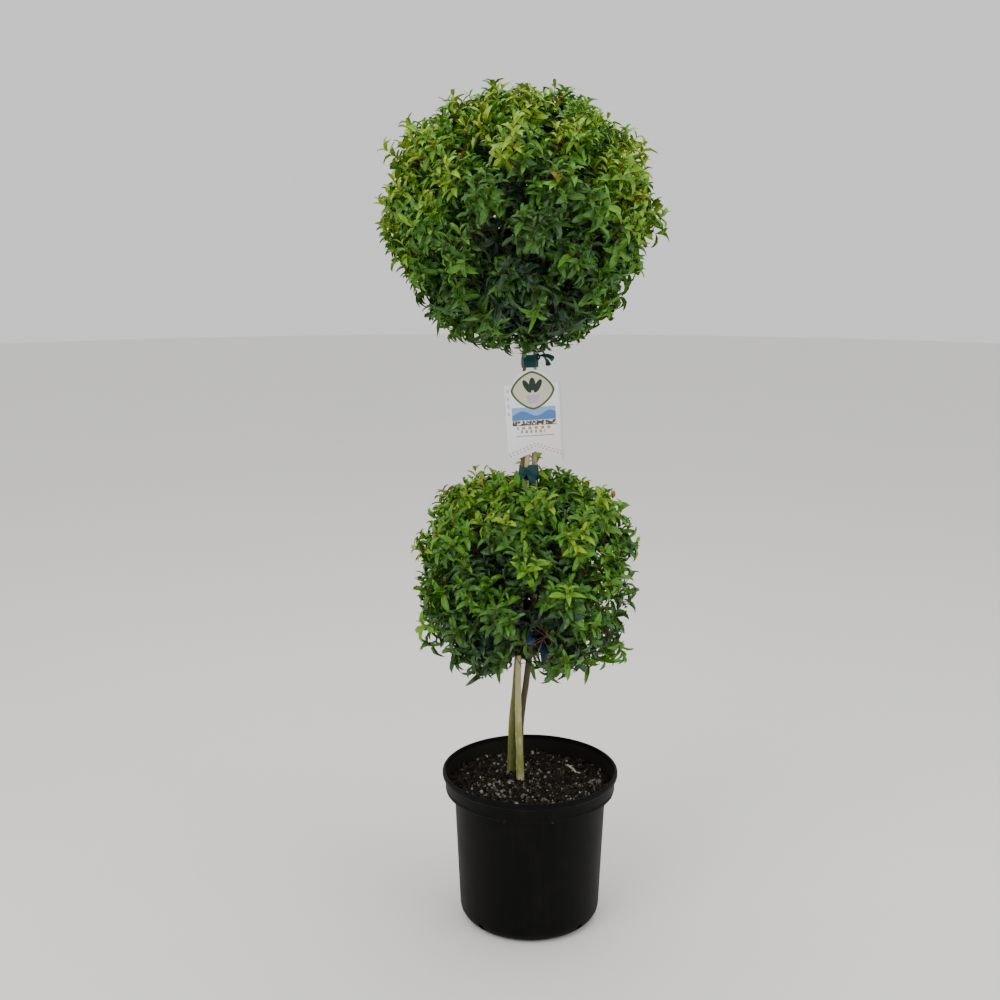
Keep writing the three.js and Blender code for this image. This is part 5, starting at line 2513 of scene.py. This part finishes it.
@dataclass
class Topiary:
    """The whole potted plant; its growth keeps within the limits, the lowest and the highest corner."""

    limits: tuple[Vector, Vector]
    pot: NurseryPot = field(default_factory=NurseryPot)
    stems: Stems = field(default_factory=Stems)
    limb_room: float = 0.003
    windows: tuple[Window, ...] = (
        Window(-0.044, -0.008, 0.4, 0.528),
        Window(-0.034, -0.008, 0.528, 0.556, 0.95),
        Window(-0.03, 0.004, 0.556, 0.66, 0.4),
        Window(0.004, 0.038, 0.54, 0.6, 0.95),
        Window(-0.018, 0.026, 0.908, 0.96),
    )

    def __post_init__(self) -> None:
        """Set out the parts that depend on the stems."""
        teal = TapeFinish("teal_tape", (0.001, 0.028, 0.027), (0.002, 0.078, 0.07))
        # The blue tape's colours are painted lighter, as painted light on the lower tie's tails, which hang
        # in the shade of the foliage
        blue = TapeFinish("blue_tape", (0.06, 0.16, 0.3), (0.15, 0.34, 0.54))
        self.ties = [
            TieTape(
                "lower_tie", 0.59, -48.0, blue,
                tails=((-0.5, 0.3, 0.085), (-0.2, -1.1, 0.07)), twist=0.3, tail_width=1.15,
            ),
            TieTape("middle_tie", 0.928, -80.0, teal, tails=((0.3, -1.3, 0.042), (-1.1, -0.6, 0.036))),
            TieTape(
                "upper_tie", 1.145, 4.0, teal,
                tails=((0.25, 0.25, 0.033), (-0.3, -0.6, 0.03)), knot_rise=0.007,
            ),
        ]
        self.chance = SeededRandom(5)
        self.upper = FoliageBall(
            "upper",
            self.clear,
            BallForm((-0.021, 0.0, 1.404), 0.264, (0.244, 2.1, 0.0), (0.241, 3.0, 0.3)),
            (
                BoughRing(1, 90.0, 0.0),
                BoughRing(5, 14.0, 54.0, (1.28, 1.328)),
                BoughRing(4, -42.0, 25.0, (1.216, 1.262)),
            ),
            seed=18, spray_count=74,
            openings=(((0.1, 0.0, -1.0), 0.72, 0.75),),
            ragged_at=109.5,
            tuck=0.07,
        )
        self.lower = FoliageBall(
            "lower",
            self.clear,
            BallForm((-0.003, 0.0, 0.722), 0.219, (0.207, 2.8, 0.0), (0.18, 4.0, 0.0)),
            (
                BoughRing(4, 38.0, 12.0, (0.706, 0.754)),
                BoughRing(5, -24.0, 20.0, (0.634, 0.684)),
            ),
            seed=36, spray_count=56,
            openings=(((-0.8, 0.0, -1.0), 0.62, 0.62), ((1.0, 0.0, -0.3), 0.56, 0.92)),
            ragged_at=70.3,
            leaf=LeafSizes(length=(0.027, 0.043), width_share=(0.25, 0.38)),
            # Its painted shadow side, its painted light at the sides and its painted shadow, and its shades
            # dealt a little darker all over
            painted_shadow_side=(-0.4, -0.85, -0.15), young=-0.07, side_light=0.12, shadow=0.16,
        )

    def clear(self, point: Vector) -> bool:
        """Say whether a point is clear of the stems, of the ties and of the view of the stems.

        Args:
            point: The point.

        Returns:
            True if it is clear.
        """
        if self.stems.clearance(point) < self.limb_room:
            return False
        if any(not low < value < high for low, value, high in zip(self.limits[0], point, self.limits[1])):
            return False
        if any(window.crosses(point) and self.chance() < window.cleared for window in self.windows):
            return False
        return all(tie.clear(point, self.stems) for tie in self.ties)

    def _hang_tag(self) -> None:
        """Hang the tag in front of the stems, and make room for its tab inside the upper tie."""
        low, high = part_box("plant_tag")
        tie = self.ties[-1]
        middle, _ = self.stems.front.at(tie.height)
        tag = PlantTag()
        hang = Vector((middle.x, high.y, tie.height))
        tag.build(hang)
        reach = tag.tab_width / 2.0 + 0.001
        tie.held = tuple((middle.x + side * reach, low.y + 0.0004, 0.0003) for side in (-1.0, 1.0))

    def build(self) -> None:
        """Build every piece of the plant, from the pot upwards."""
        self.pot.build()
        PottingMix(self.pot).build()
        self.stems.build()
        leaves, twigs = leaf_tree(), limb_tree()
        blade = LeafSizes().blade()
        paints = {shade: shade.value.materials(shade.name.lower()) for shade in LeafShade}
        bark = TwigFinish().material()
        for ball in (self.lower, self.upper):
            boughs = ball.plan_boughs(self.stems)
            nodes = [f"{ball.name}_foliage_{bough.number}" for bough in boughs]
            ball.build_boughs(boughs)
            ball.grow(boughs)
            ball.build_twigs(twigs, bark, nodes)
            ball.build_leaves(leaves, blade, paints, nodes)
            LOG.info("%s: %d leaves on %d twigs", ball.name, len(ball.leaves), len(ball.lines))
        bpy.data.objects.remove(blade)
        self._hang_tag()
        for tie in self.ties:
            tie.build(self.stems)


def widened(box: tuple[Vector, Vector]) -> tuple[Vector, Vector]:
    """Return a box that is wider all round by the margin for soft growth."""
    room = (box[1] - box[0]) * SOFT_SHARE + Vector((SOFT_ROOM, SOFT_ROOM, SOFT_ROOM))
    return box[0] - room, box[1] + room


def write_sizes() -> None:
    """Update the view layer, so that the scene is evaluated afresh.
    """
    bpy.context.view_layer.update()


def main() -> None:
    """Load the frame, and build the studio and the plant."""
    logging.basicConfig(level=logging.INFO, format="%(message)s", stream=sys.stdout)
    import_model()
    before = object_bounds()
    Studio().build()
    Topiary(widened(before)).build()
    write_sizes()


if __name__ == "__main__":
    main()
